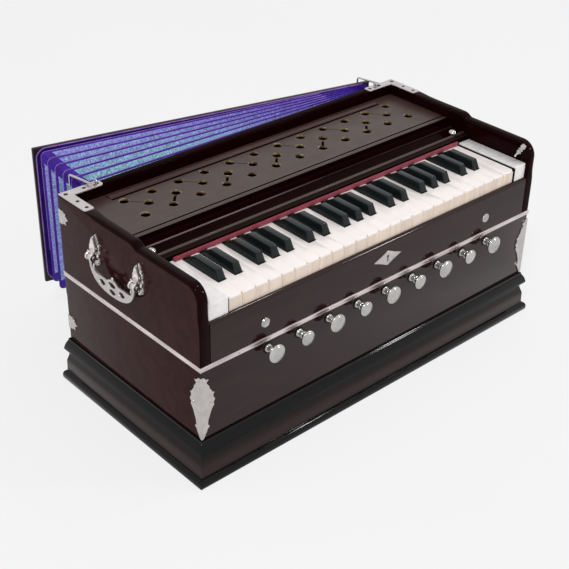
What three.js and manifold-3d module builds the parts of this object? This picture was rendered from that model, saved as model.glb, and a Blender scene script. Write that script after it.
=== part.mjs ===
// A portable Indian harmonium with 42 keys, nine stops, a folding rear bellows, two side
// handles and a sunk sound board that lifts at its rear hinge.
// Millimetres. X runs to the treble side, Y to the rear, Z up. The origin is on the floor,
// under the middle of the case.

import * as THREE from 'three'
import { mergeVertices } from 'three/addons/utils/BufferGeometryUtils.js'
import Module from 'manifold-3d'

const wasm = await Module()
wasm.setup()

// Gaps between pieces
const seatGap = 0.3
const runGap = 0.4
const cutOverrun = 1

// Keys: a natural is a white-covered lever, a sharp a black-capped one between two naturals
const naturalPitch = 20.5
const keyGap = 0.7
const naturalHeight = 20
const naturalEdgeRound = 3
const balanceDistance = 117
const keyTail = 86
const keyDip = 8
const leverHeight = 13
const coverLap = 14
const sharpSetback = 34.6
const sharpWidth = 12.6
const sharpTopWidth = 9.6
const sharpRise = 13
const sharpSlope = 5.5
const palletLength = 34
const sharpShift = 2.4

// Case boards
const cheekThickness = 15
const rearThickness = 13
const frontThickness = 15
const slipThickness = 5
const bassBlockWidth = 31
const trebleBlockWidth = 22.5
const blockGap = 1.5
const trebleBlockGap = 2.5
const blockRise = 3.5
const caseDepth = 282

// Heights, counted up from the floor
const plinthHeight = 64
const chestHeight = 145
const railHeight = 14
const fallRise = 22
const rimRise = 15

// Cheek outline
const cheekRound = 22
const rimStepDrop = 5
const rimStepLength = 20
const rimStepDistance = 112

// Plinth moulding
const plinthOverhang = 12.7
const plinthRearOverhang = 8.2
const plinthFloor = 12
const plinthWall = 22

// Boards inside the case
const reedBoardThickness = 12
const slotWidth = 7
const slotLength = 26
const balanceRailWidth = 5
const balanceRailFoot = 16
const touchRailWidth = 12
const touchRailSetback = 9
const ledgeWidth = 9
const ledgeHeight = 12
const airHoleWidth = 200
const airHoleHeight = 30
const airHoleRise = 30

// Sound board and fall board, one glued piece that lifts
const topThickness = 9
const topSideGap = 0.5
const topHingeGap = 0.6
const fallDepth = 49.9
const fallThickness = 8
const fallUnderGap = 2.5
const noseRound = 4
const panelDepth = 3
const panelMargin = 29
const panelFrontMargin = 21.1
const panelRearMargin = 16
const soundHolePitch = 43.2
const soundHoleDiameter = 12.6
const soundHoleShift = 7
const soundRowPitch = 23
const soundSlotWidth = 2.4
const soundHoleColumns = 12
const feltWidth = 9
const feltThickness = 1.7

// Stops
const stopCount = 9
const stopPitch = 50.5
const stopRise = 88
const stopRowShift = 5
const stopTravel = 18
const stopRodDiameter = 6
const stopLargeDiameter = 25
const stopSmallDiameter = 20.5
const stopReach = 20
const stopRodInside = 44
const stopCollarDiameter = 11
const stopCollarLength = 4
const flangeDiameter = 15
const flangeThickness = 3

// Side handles
const handleSpan = 89
const handleOffset = 13.5
const handleDrop = 48
const postWidth = 19
const postHeight = 45
const postBaseThickness = 5
const postBodyThickness = 12
const knuckleDiameter = 11
const lobeThickness = 3
const bailPinDiameter = 4.8
const bailEyeDiameter = 9
const bailThickness = 4.5
const bailArmWidth = 5
const bailDepth = 36
const bailStrap = 19
const bailStandoff = 10

// Bellows
const bellowsFrameThickness = 6
const bellowsStack = 20
const bellowsBoardThickness = 10
const bellowsFreeInset = 38
const bellowsHeel = 10
const bellowsHingeInset = 32
const bellowsTopDrop = 5
const bellowsFolds = 6
const bellowsFoldDepth = 12
const bellowsEdgeInset = 7
const bellowsClothThickness = 2
const bellowsOpenAngle = 12.6
const inletDiameter = 14
const inletPitch = 46
const inletCount = 6

// Wire hooks
const hookDiameter = 3
const hookHold = 6
const hookHeelHold = 11
const hookReach = 46
const hookRise = 3.6
const hookTipDrop = 17
const hookSag = 4.5
const hookPinLength = 11
const studWidth = 5
const studLength = 8
const studHeight = 7.5

// Thin metal trim
const trimThickness = 1.2
const stripRise = 98.5
const stripHeight = 6.8
const slipScrewDiameter = 13
const slipScrewSpan = 403
const slipScrewRise = 126
const escutcheonWidth = 50
const escutcheonHeight = 21
const escutcheonRise = 137
const leafRise = 46
const leafHeight = 90
const leafReach = 20
const cornerPlateLength = 60
const cornerPlateWidth = 15
const sidePlateWidth = 20
const sidePlateHeight = 20
const sidePlateLowRise = 19
const sidePlateHighRise = 177
const pegDiameter = 8
const pegLength = 19
const pegSetback = 13
const pegDrop = 13
const pegTilt = 27
const knobDiameter = 8
const knobHeight = 8
const knobInset = 15
const knobSetback = 18.4

// Places worked out from the sizes above
const naturalCount = 25
const keyboardWidth = naturalCount * naturalPitch
const endWidths = bassBlockWidth + blockGap + trebleBlockGap + trebleBlockWidth
const innerHalf = (keyboardWidth + endWidths) / 2
const keyboardLeft = bassBlockWidth + blockGap - innerHalf
const keyboardRight = keyboardLeft + keyboardWidth
const caseHalf = innerHalf + cheekThickness
const frontFace = -caseDepth / 2
const rearFace = caseDepth / 2
const rearInner = rearFace - rearThickness
const reedBoardTop = plinthHeight + chestHeight
const keyBottom = reedBoardTop + railHeight
const keyTop = keyBottom + naturalHeight
const leverTop = keyBottom + leverHeight
const topSurface = keyTop + fallRise
const rimTop = topSurface + rimRise
const topUnderside = topSurface - topThickness
const naturalFront = frontFace + slipThickness + 2 * runGap
const pivotY = naturalFront + balanceDistance
const coverEnd = pivotY - coverLap
const fallFront = coverEnd + seatGap
const capEnd = fallFront - feltWidth - runGap
const tailEnd = pivotY + keyTail
const palletFront = tailEnd - palletLength
const sharpFront = naturalFront + sharpSetback
const lowerCaseTop = plinthHeight + chestHeight - reedBoardThickness
const hingeX = caseHalf - bellowsHingeInset
const bellowsRadius = hingeX + caseHalf - bellowsFreeInset

// Materials
const finish = (color, roughness, metalness = 0) =>
  new THREE.MeshStandardMaterial({ color, roughness, metalness })
const caseWood = finish(0x45393a, 0.25)
const plinthGloss = finish(0x1c1d1e, 0.2)
const topSatin = finish(0x574e4c, 0.45)
const naturalCover = finish(0xf0eae6, 0.3)
const sharpCover = finish(0x23282a, 0.25)
const chrome = finish(0xcfc9c9, 0.15, 1)
const boardPaint = finish(0x2a1c20, 0.4)
const bellowsCloth = finish(0x4a1a9a, 0.8)

const harmonium = new THREE.Group()

// Booleans: a closed three.js geometry becomes a solid and comes back as a geometry
function toSolid(geometry) {
  const bare = geometry.clone()
  bare.deleteAttribute('normal')
  bare.deleteAttribute('uv')
  const merged = mergeVertices(bare)
  return new wasm.Manifold(new wasm.Mesh({
    numProp: 3,
    vertProperties: new Float32Array(merged.attributes.position.array),
    triVerts: new Uint32Array(merged.index.array),
  }))
}

function toGeometry(solid) {
  const mesh = solid.getMesh()
  const geometry = new THREE.BufferGeometry()
  geometry.setAttribute('position', new THREE.BufferAttribute(mesh.vertProperties, 3))
  geometry.setIndex(new THREE.BufferAttribute(mesh.triVerts, 1))
  geometry.computeVertexNormals()
  return geometry
}

const joined = (solids) => solids.reduce((whole, solid) => whole.add(solid))

// A box from its two corners, in either order along X
function box(x0, x1, y0, y1, z0, z1) {
  const geometry = new THREE.BoxGeometry(Math.abs(x1 - x0), y1 - y0, z1 - z0)
  geometry.translate((x0 + x1) / 2, (y0 + y1) / 2, (z0 + z1) / 2)
  return toSolid(geometry)
}

// An outline in the YZ plane, pushed along X between two places in either order
function sidePrism(shape, x0, x1, curveSegments = 6) {
  const settings = { depth: Math.abs(x1 - x0), bevelEnabled: false, curveSegments }
  const geometry = new THREE.ExtrudeGeometry(shape, settings)
  geometry.rotateX(Math.PI / 2)
  geometry.rotateZ(Math.PI / 2)
  geometry.translate(Math.min(x0, x1), 0, 0)
  return toSolid(geometry)
}

// An outline in the XZ plane, pushed from y0 to y1
function frontPrism(shape, y0, y1, curveSegments = 6) {
  const settings = { depth: y1 - y0, bevelEnabled: false, curveSegments }
  const geometry = new THREE.ExtrudeGeometry(shape, settings)
  geometry.rotateX(Math.PI / 2)
  geometry.translate(0, y1, 0)
  return toSolid(geometry)
}

// A round rod between two points
function rod(from, to, radius, sides = 8) {
  const start = new THREE.Vector3(...from)
  const end = new THREE.Vector3(...to)
  const length = start.distanceTo(end)
  const geometry = new THREE.CylinderGeometry(radius, radius, length, sides)
  const turn = new THREE.Quaternion().setFromUnitVectors(
    new THREE.Vector3(0, 1, 0), end.clone().sub(start).normalize())
  geometry.applyQuaternion(turn)
  const middle = start.add(end).multiplyScalar(1 / 2)
  geometry.translate(middle.x, middle.y, middle.z)
  return toSolid(geometry)
}

function polygon(points) {
  return new THREE.Shape(points.map(([a, b]) => new THREE.Vector2(a, b)))
}

function place(name, solid, material, parent = harmonium) {
  const geometry = solid.isBufferGeometry ? solid : toGeometry(solid)
  const mesh = new THREE.Mesh(geometry, material)
  mesh.name = name
  parent.add(mesh)
  return mesh
}

// The plinth: rings of the moulding from the floor up, closed by a floor and hollow above it
const mouldingShares = [
  [0.9, 0], [1, 0.04], [1, 0.11], [0.83, 0.17], [0.57, 0.19], [0.52, 0.47],
  [0.3, 0.56], [0.23, 0.64], [0.25, 0.7], [0.68, 0.75], [0.62, 0.84], [0.42, 0.92],
  [0.27, 0.95], [0.23, 1],
]

function plinthSolid() {
  const rings = mouldingShares.map(([out, up]) => {
    const side = caseHalf + out * plinthOverhang
    const front = frontFace - out * plinthOverhang
    const rear = rearFace + out * plinthRearOverhang
    const height = up * plinthHeight
    return [[-side, front], [side, front], [side, rear], [-side, rear]]
      .map(([x, y]) => new THREE.Vector3(x, y, height))
  })
  const outer = toSolid(ringStack(rings))
  const hollow = box(
    -caseHalf + plinthWall, caseHalf - plinthWall,
    frontFace + plinthWall, rearFace - plinthWall,
    plinthFloor, plinthHeight + cutOverrun)
  return outer.subtract(hollow)
}

// A closed skin over a stack of four-cornered rings, each ring counter-clockwise seen from
// the last one. A looped stack comes back inside itself, with its creases on the same
// diagonals, and leaves the middle open.
function ringStack(rings, looped = false) {
  const positions = rings.flat().flatMap((point) => [point.x, point.y, point.z])
  const index = []
  const last = rings.length - 1
  for (let level = 0; level < last + looped; level++) {
    const next = (level + 1) % rings.length
    for (let corner = 0; corner < 4; corner++) {
      const side = (corner + 1) % 4
      const [a, b] = [level * 4 + corner, level * 4 + side]
      const [c, d] = [next * 4 + side, next * 4 + corner]
      if (looped && level >= rings.length / 2) index.push(a, b, d, b, c, d)
      else index.push(a, b, c, a, c, d)
    }
  }
  const top = last * 4
  if (!looped) index.push(0, 2, 1, 0, 3, 2, top, top + 1, top + 2, top, top + 2, top + 3)
  const geometry = new THREE.BufferGeometry()
  geometry.setAttribute('position', new THREE.Float32BufferAttribute(positions, 3))
  geometry.setIndex(index)
  geometry.computeVertexNormals()
  return geometry
}

// Cheek outline: level rim at the rear, a small S step down, a round front
function cheekShape() {
  const bottom = plinthHeight + seatGap
  const lowTop = rimTop - rimStepDrop
  const stepFront = frontFace + rimStepDistance
  const stepRear = stepFront + rimStepLength
  const stepMiddle = stepFront + rimStepLength / 2
  const shape = new THREE.Shape()
  shape.moveTo(frontFace, bottom)
  shape.lineTo(rearFace, bottom)
  shape.lineTo(rearFace, rimTop)
  shape.lineTo(stepRear, rimTop)
  shape.bezierCurveTo(stepMiddle, rimTop, stepMiddle, lowTop, stepFront, lowTop)
  shape.lineTo(frontFace + cheekRound, lowTop)
  shape.absarc(frontFace + cheekRound, lowTop - cheekRound, cheekRound, Math.PI / 2, Math.PI)
  return shape
}

// Key slip outline: a thin board with a round top front edge
function slipShape() {
  const slipTop = keyBottom + blockGap
  const bottom = lowerCaseTop - frontThickness
  const rear = frontFace + slipThickness
  const shape = new THREE.Shape()
  shape.moveTo(rear, bottom)
  shape.lineTo(rear, slipTop)
  shape.absarc(rear, slipTop - slipThickness, slipThickness, Math.PI / 2, Math.PI)
  shape.lineTo(frontFace, bottom)
  return shape
}

const stopHeight = plinthHeight + stopRise
const stopX = (number) => stopRowShift + (number - (stopCount - 1) / 2) * stopPitch
const sides = [-1, 1]
const postPlaces = sides.map((end) => handleOffset + end * handleSpan / 2)
const handleHeight = rimTop - handleDrop
const knuckleLength = bailArmWidth + 2 * (runGap + lobeThickness)
const leafShares = [
  [0, -0.38], [0.3, -0.36], [0.5, -0.18], [0.36, -0.06], [0.5, 0.12], [0.3, 0.2],
  [0.38, 0.38], [0.16, 0.4], [0, 0.62],
]
const crownShares = [[0.4, 0.2], [0.4, 0.32], [0.2, 0.4], [0, 0.58]]
const mirrorPoints = (points) => points.map(([across, up]) => [-across, up]).reverse()

// One cast leaf post on a cheek: leaf plate, crown and a forked knuckle with its bore
function handlePost(side, y) {
  const half = knuckleLength / 2
  const leaf = [...leafShares, ...mirrorPoints(leafShares.slice(1, -1))]
    .map(([across, up]) => [y + across * postWidth, handleHeight + up * postHeight])
  const rise = crownShares.map(([across, up]) => [across * postWidth, up * postHeight])
  const front = [[half, -knuckleDiameter / 4], [half, knuckleDiameter / 2], ...rise]
  const crown = [...front, ...mirrorPoints(front.slice(0, -1))]
    .map(([across, up]) => [y + across, handleHeight + up])
  const pivotX = side * (caseHalf + bailStandoff)
  const inCheek = side * (caseHalf - postBaseThickness / 2)
  const plate = sidePrism(polygon(leaf), inCheek, side * (caseHalf + postBaseThickness))
  const body = sidePrism(polygon(crown), inCheek, side * (caseHalf + postBodyThickness))
  const along = (from, to, radius, count) => rod(
    [pivotX, y + from, handleHeight], [pivotX, y + to, handleHeight], radius, count)
  const slot = bailArmWidth / 2 + runGap
  const whole = joined([plate, body, along(-half, half, knuckleDiameter / 2, 12)])
  const bore = along(-postWidth, postWidth, bailPinDiameter / 2 + runGap, 12)
  return whole.subtract(bore).subtract(along(-slot, slot, knuckleDiameter / 2 + runGap, 12))
    .subtract(box(
      pivotX - side * (bailThickness / 2 + runGap), side * (caseHalf + 2 * bailStandoff),
      y - slot, y + slot, handleHeight - knuckleDiameter, handleHeight))
}

// Rest places of the wire hooks on the rear rim
const hookPlaces = [
  { name: 'hook_left', side: -1, x: bellowsFreeInset + hookHold - caseHalf },
  { name: 'hook_right', side: 1, x: hingeX + bellowsHeel - hookHeelHold },
]
const hookPivotY = rearFace - rearThickness / 2
const hookPivotZ = rimTop + hookRise

// A stud on the rim with a cross hole for the hook
function hookStud({ side, x }) {
  const far = x - side * hookPinLength
  const near = far + side * studWidth
  const body = box(
    far, near, hookPivotY - studLength / 2, hookPivotY + studLength / 2,
    rimTop - rearThickness, rimTop + studHeight)
  const hole = rod(
    [far - side * cutOverrun, hookPivotY, hookPivotZ],
    [near + side * cutOverrun, hookPivotY, hookPivotZ], hookDiameter / 2 + runGap)
  return body.subtract(hole)
}

// A ringed peg on the inside of the treble cheek, near its round front, that leans down
const pegShares = [
  [0.56, 0], [0.56, 0.12], [0.36, 0.2], [0.5, 0.3], [0.36, 0.4], [0.5, 0.5], [0.34, 0.62],
  [0.2, 0.7], [0.16, 1],
]

function cheekPeg() {
  const outline = [[0, -cheekThickness / 4], [pegDiameter / 2, -cheekThickness / 4]]
    .concat(pegShares.map(([out, along]) => [out * pegDiameter, along * pegLength]))
    .concat([[0, pegLength]])
    .map(([out, along]) => new THREE.Vector2(out, along))
  const geometry = new THREE.LatheGeometry(outline, 8)
  geometry.rotateZ(Math.PI / 2)
  geometry.rotateY(THREE.MathUtils.degToRad(-pegTilt))
  geometry.translate(innerHalf, frontFace + pegSetback, rimTop - pegDrop)
  return toSolid(geometry)
}

// Thin metal trim: strip, slip screws, escutcheon, corner leaves and corner plates
const cornerLeafShares = [
  [-1, 0], [0, 0], [0, 1], [-0.12, 0.86], [-0.4, 0.8], [-0.3, 0.68], [-1, 0.5], [-0.3, 0.32],
  [-0.4, 0.2], [-0.12, 0.14],
]

function trimSolids() {
  const inside = trimThickness
  const sunk = (side) => side * (caseHalf - inside)
  const proud = (side) => side * (caseHalf + trimThickness)
  const stripBottom = plinthHeight + stripRise
  const leafBottom = plinthHeight + leafRise - leafHeight / 2
  const escutcheonZ = plinthHeight + escutcheonRise
  const strip = [
    box(
      proud(-1), proud(1), frontFace - trimThickness, frontFace + inside, stripBottom,
      stripBottom + stripHeight),
    ...sides.map((side) => box(
      sunk(side), proud(side), frontFace, rearFace, stripBottom, stripBottom + stripHeight)),
  ]
  const screws = sides.map((side) => rod(
    [side * slipScrewSpan / 2, frontFace - trimThickness, plinthHeight + slipScrewRise],
    [side * slipScrewSpan / 2, frontFace + inside, plinthHeight + slipScrewRise],
    slipScrewDiameter / 2, 16))
  const escutcheonShares = [[-1, 0], [0, -1], [1, 0], [0, 1]]
  const escutcheon = frontPrism(polygon(escutcheonShares.map(([across, up]) => [
    stopRowShift + across * escutcheonWidth / 2, escutcheonZ + up * escutcheonHeight / 2,
  ])), frontFace - trimThickness, frontFace + inside)
  const leaves = sides.flatMap((side) => {
    const rows = cornerLeafShares.slice(2).map(([across, up]) => [across * leafReach, up])
    const onFront = rows.map(([across, up]) => [
      side * (caseHalf + trimThickness + across), leafBottom + up * leafHeight])
    const onSide = rows.map(([across, up]) => [
      frontFace - trimThickness - across, leafBottom + up * leafHeight])
    onFront.push([side * (caseHalf + trimThickness), leafBottom])
    onSide.push([frontFace - trimThickness, leafBottom])
    if (side > 0) onFront.reverse()
    return [
      frontPrism(polygon(onFront), frontFace - trimThickness, frontFace + inside),
      sidePrism(polygon(onSide), sunk(side), proud(side)),
    ]
  })
  const corners = sides.flatMap((side) => [
    box(
      side * caseHalf, side * (caseHalf - cornerPlateLength), rearInner + inside, rearFace,
      rimTop - inside, rimTop + trimThickness),
    box(
      side * caseHalf, side * (caseHalf - cornerPlateWidth), rearFace - cornerPlateLength,
      rearFace, rimTop - inside, rimTop + trimThickness),
  ])
  const plates = sides.flatMap((side) => [sidePlateLowRise, sidePlateHighRise].map((rise) => box(
    sunk(side), proud(side), rearFace - sidePlateWidth, rearFace,
    plinthHeight + rise, plinthHeight + rise + sidePlateHeight)))
  return [...strip, ...screws, escutcheon, ...leaves, ...corners, ...plates]
}

// X places of the keys: naturals by their left edge, sharps by their middle
const naturalNotes = ['c', 'd', 'e', 'f', 'g', 'a', 'b']
const sharpAfter = { c: -1, d: 1, f: -1.15, g: 0, a: 1.15 }
const keyPlan = []
for (let number = 0; number < naturalCount; number++) {
  const note = naturalNotes[number % naturalNotes.length]
  const octave = 3 + Math.floor(number / naturalNotes.length)
  const left = keyboardLeft + number * naturalPitch
  keyPlan.push({ name: `key_${note}${octave}`, left, kind: 'natural', number })
  if (note in sharpAfter && number < naturalCount - 1) {
    const middle = left + naturalPitch + sharpAfter[note] * sharpShift
    keyPlan.push({ name: `key_${note}sharp${octave}`, middle, kind: 'sharp', number })
  }
}
const sharps = keyPlan.filter((key) => key.kind === 'sharp')

// The clear width of a natural's tail, between the sharps beside it
function tailSpan(natural) {
  const clear = sharpWidth / 2 + keyGap
  const before = sharps.find((sharp) => sharp.number === natural.number - 1)
  const after = sharps.find((sharp) => sharp.number === natural.number)
  const right = natural.left + naturalPitch
  return [
    before ? before.middle + clear : natural.left + keyGap / 2,
    after ? after.middle - clear : right - keyGap / 2,
  ]
}

function keyMiddle(key) {
  if (key.kind === 'sharp') return key.middle
  const [left, right] = tailSpan(key)
  return (left + right) / 2
}

// Drop of a pressed key's underside at a distance in front of the balance rail
const dropAt = (distance) => keyDip * distance / balanceDistance

// The glued case: boards, cheeks, rails, end blocks, reed board, posts and studs
function caseSolid() {
  const bottom = plinthHeight + seatGap
  const cheekMiddle = innerHalf + cheekThickness / 2
  const acrossInside = (y0, y1, z0, z1) => box(-cheekMiddle, cheekMiddle, y0, y1, z0, z1)
  const touchFront = naturalFront + touchRailSetback
  const touchTop = keyBottom - dropAt(balanceDistance - touchRailSetback) - runGap
  const railFoot = balanceRailFoot / 2
  const railHead = balanceRailWidth / 2
  const railTop = keyBottom - seatGap
  const balanceShape = polygon([
    [pivotY - railFoot, reedBoardTop - reedBoardThickness / 2],
    [pivotY + railFoot, reedBoardTop - reedBoardThickness / 2],
    [pivotY + railHead, railTop],
    [pivotY - railHead, railTop],
  ])
  const solids = [
    ...sides.map((side) => sidePrism(cheekShape(), side * innerHalf, side * caseHalf)),
    acrossInside(frontFace, frontFace + frontThickness, bottom, lowerCaseTop),
    acrossInside(rearInner, rearFace, bottom, rimTop),
    sidePrism(slipShape(), -cheekMiddle, cheekMiddle),
    acrossInside(
      frontFace + slipThickness / 2, rearInner + rearThickness / 2,
      reedBoardTop - reedBoardThickness, reedBoardTop),
    acrossInside(
      touchFront, touchFront + touchRailWidth, reedBoardTop - reedBoardThickness / 2, touchTop),
    sidePrism(balanceShape, -cheekMiddle, cheekMiddle),
    box(
      hingeX - bellowsRadius, hingeX, rearInner + rearThickness / 2,
      rearFace + bellowsFrameThickness, bellowsBottom, bellowsTop),
  ]
  const endBlocks = [
    [-cheekMiddle, keyboardLeft - blockGap], [keyboardRight + trebleBlockGap, cheekMiddle],
  ]
  for (const [from, to] of endBlocks) {
    solids.push(box(
      from, to, naturalFront - blockGap, coverEnd,
      reedBoardTop - reedBoardThickness / 2, keyTop + blockRise))
  }
  for (const side of sides) {
    solids.push(box(
      side * (innerHalf - ledgeWidth), side * cheekMiddle,
      fallFront + fallDepth + fallThickness + runGap, rearInner + rearThickness / 2,
      topUnderside - seatGap - ledgeHeight, topUnderside - seatGap))
    solids.push(...postPlaces.map((y) => handlePost(side, y)))
  }
  solids.push(cheekPeg(), ...hookPlaces.map(hookStud), ...trimSolids())
  for (let number = 0; number < stopCount; number++) {
    solids.push(rod(
      [stopX(number), frontFace - flangeThickness, stopHeight],
      [stopX(number), frontFace + frontThickness / 2, stopHeight], flangeDiameter / 2, 14))
  }
  const cuts = []
  for (let number = 0; number < stopCount; number++) {
    cuts.push(rod(
      [stopX(number), frontFace - flangeThickness - cutOverrun, stopHeight],
      [stopX(number), frontFace + frontThickness + cutOverrun, stopHeight],
      stopRodDiameter / 2 + runGap, 12))
  }
  for (const key of keyPlan) {
    const middle = keyMiddle(key)
    const slotMiddle = palletFront + palletLength / 2
    cuts.push(box(
      middle - slotWidth / 2, middle + slotWidth / 2,
      slotMiddle - slotLength / 2, slotMiddle + slotLength / 2,
      reedBoardTop - reedBoardThickness - cutOverrun, reedBoardTop + cutOverrun))
  }
  cuts.push(box(
    -airHoleWidth / 2, airHoleWidth / 2, rearInner - cutOverrun,
    rearFace + bellowsFrameThickness + cutOverrun,
    bottom + airHoleRise, bottom + airHoleRise + airHoleHeight))
  return joined(solids).subtract(joined(cuts))
}

// Bellows: the board turns about an upright line near its right end
const bellowsBottom = plinthHeight + 2 * runGap
const bellowsTop = rimTop - bellowsTopDrop
const stackStart = rearFace + bellowsFrameThickness + seatGap
const hingeY = stackStart + bellowsStack
const openAngle = THREE.MathUtils.degToRad(bellowsOpenAngle)

// The folded cloth: an open-ended sleeve. Its rings lie on upright planes that fan out from
// the frame to the board, and every second ring is drawn in by the fold depth.
function pleatSolid() {
  const halfFolds = bellowsFolds * 2
  const ring = (number, depth) => {
    const share = number / halfFolds
    const angle = openAngle * share
    const start = stackStart + (bellowsStack - seatGap) * share
    const inset = (number % 2 ? 0 : bellowsFoldDepth) + depth
    const reach = bellowsRadius - bellowsEdgeInset - inset
    const heel = inset / 2
    const low = bellowsBottom + bellowsEdgeInset / 2 + inset
    const high = bellowsTop - bellowsEdgeInset / 4 - inset
    const at = (radius, z) => new THREE.Vector3(
      hingeX - radius * Math.cos(angle), start + radius * Math.sin(angle), z)
    return [at(heel, low), at(reach, low), at(reach, high), at(heel, high)]
  }
  const numbers = Array.from({ length: halfFolds + 1 }, (unused, number) => number)
  const outside = numbers.map((number) => ring(number, 0))
  const inside = numbers.map((number) => ring(number, bellowsClothThickness)).reverse()
  return ringStack([...outside, ...inside], true)
}

function bellowsBoard() {
  const board = box(
    -bellowsRadius, bellowsHeel, 0, bellowsBoardThickness, bellowsBottom, bellowsTop)
  const middle = (bellowsBottom + bellowsTop) / 2
  const holes = []
  for (let number = 0; number < inletCount; number++) {
    const x = -bellowsRadius / 2 + (number - (inletCount - 1) / 2) * inletPitch
    holes.push(rod(
      [x, -cutOverrun, middle], [x, bellowsBoardThickness + cutOverrun, middle],
      inletDiameter / 2, 12))
  }
  return board.subtract(joined(holes))
}

// The top: sound board with its sunk panel, fall board with two beads and the felt strip
function topShape() {
  const rear = rearInner - topHingeGap
  const nose = fallFront + fallDepth
  const bottom = keyTop + fallUnderGap
  const fall = topSurface - noseRound - bottom
  const drop = (share) => topSurface - noseRound - share * fall
  const along = (share) => nose - share * fallDepth
  const shape = new THREE.Shape()
  shape.moveTo(rear, topUnderside)
  shape.lineTo(rear, topSurface)
  shape.lineTo(nose + noseRound, topSurface)
  shape.absarc(nose + noseRound, topSurface - noseRound, noseRound, Math.PI / 2, Math.PI)
  shape.lineTo(along(0.02), drop(0.15))
  shape.quadraticCurveTo(along(0.12), drop(0.34), along(0.33), drop(0.36))
  shape.lineTo(along(0.35), drop(0.47))
  shape.lineTo(along(0.81), drop(0.62))
  shape.lineTo(along(0.83), drop(0.73))
  shape.lineTo(along(1), drop(0.78))
  shape.lineTo(fallFront, bottom)
  shape.lineTo(fallFront + fallThickness, bottom)
  shape.lineTo(nose + fallThickness, topUnderside)
  return shape
}

// A small turned knob that lifts the top
const knobShares = [
  [0.3, 0], [0.3, 0.4], [0.5, 0.55], [0.5, 0.8], [0.3, 1],
]

function liftKnob(side) {
  const outline = [[0, -fallThickness / 4], [knobShares[0][0] * knobDiameter, -fallThickness / 4]]
    .concat(knobShares.map(([out, along]) => [out * knobDiameter, along * knobHeight]))
    .concat([[0, knobHeight]])
    .map(([out, along]) => new THREE.Vector2(out, along))
  const geometry = new THREE.LatheGeometry(outline, 8)
  geometry.rotateX(Math.PI / 2)
  const fall = topSurface - noseRound - keyTop - fallUnderGap
  geometry.translate(
    side * (innerHalf - knobInset), fallFront + knobSetback, topSurface - noseRound - 0.6 * fall)
  return toSolid(geometry)
}

function topSolid() {
  const half = innerHalf - topSideGap
  const panelFront = fallFront + fallDepth + panelFrontMargin
  const panelRear = rearInner - topHingeGap - panelRearMargin
  const panelHalf = innerHalf - panelMargin
  const feltTop = keyTop + fallUnderGap
  const body = joined([
    sidePrism(topShape(), -half, half),
    box(
      keyboardLeft, keyboardRight, fallFront - feltWidth, fallFront + fallThickness / 2,
      feltTop - feltThickness, feltTop),
    box(
      keyboardLeft, keyboardRight, fallFront, fallFront + fallThickness / 2,
      feltTop - feltThickness, feltTop + feltThickness),
    ...sides.map(liftKnob),
  ])
  const cuts = [box(
    -panelHalf, panelHalf, panelFront, panelRear, topSurface - panelDepth,
    topSurface + cutOverrun)]
  const row = (panelFront + panelRear) / 2
  const radius = soundHoleDiameter / 2
  const middle = (soundHoleColumns - 1) / 2
  const columnX = (column) => soundHoleShift + (column - middle) * soundHolePitch
  const hole = (x, y) => rod(
    [x, y, topUnderside - cutOverrun], [x, y, topSurface], radius)
  for (let column = 0; column < soundHoleColumns; column++) {
    const x = columnX(column)
    cuts.push(hole(x, row + soundRowPitch), hole(x, row - soundRowPitch))
    if (column === soundHoleColumns - 1) continue
    cuts.push(hole(x + soundHolePitch / 2, row))
    cuts.push(soundSlot(x, row, column % 2 ? -1 : 1))
  }
  return body.subtract(joined(cuts))
}

// A straight slot that joins a middle hole to the hole behind or in front of it
function soundSlot(x, y, way) {
  const end = new THREE.Vector2(soundHolePitch / 2, -way * soundRowPitch)
  const geometry = new THREE.BoxGeometry(
    end.length(), soundSlotWidth, topThickness + 2 * cutOverrun)
  geometry.rotateZ(end.angle())
  geometry.translate(
    x + soundHolePitch / 4, y + way * soundRowPitch / 2, topSurface - topThickness / 2)
  return toSolid(geometry)
}

// A natural: white-covered head, narrow tail between the sharps, pallet under its end
function naturalSolid(key) {
  const left = key.left + keyGap / 2
  const right = key.left + naturalPitch - keyGap / 2
  const [tailLeft, tailRight] = tailSpan(key)
  const shape = new THREE.Shape()
  shape.moveTo(naturalFront, keyBottom)
  shape.lineTo(palletFront, keyBottom)
  shape.lineTo(palletFront, reedBoardTop + seatGap)
  shape.lineTo(tailEnd, reedBoardTop + seatGap)
  shape.lineTo(tailEnd, leverTop)
  shape.lineTo(coverEnd, leverTop)
  shape.lineTo(coverEnd, keyTop)
  shape.lineTo(naturalFront + naturalEdgeRound, keyTop)
  shape.absarc(
    naturalFront + naturalEdgeRound, keyTop - naturalEdgeRound, naturalEdgeRound,
    Math.PI / 2, Math.PI)
  const side = sidePrism(shape, left, right, 2)
  const notchStart = sharpFront - keyGap - dropAt(naturalHeight)
  const notches = [[left - cutOverrun, tailLeft], [tailRight, right + cutOverrun]]
    .filter(([from, to]) => to - from > cutOverrun + keyGap / 4)
    .map(([from, to]) => box(
      from, to, notchStart, tailEnd + cutOverrun, reedBoardTop, keyTop + cutOverrun))
  return notches.length ? side.subtract(joined(notches)) : side
}

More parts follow.
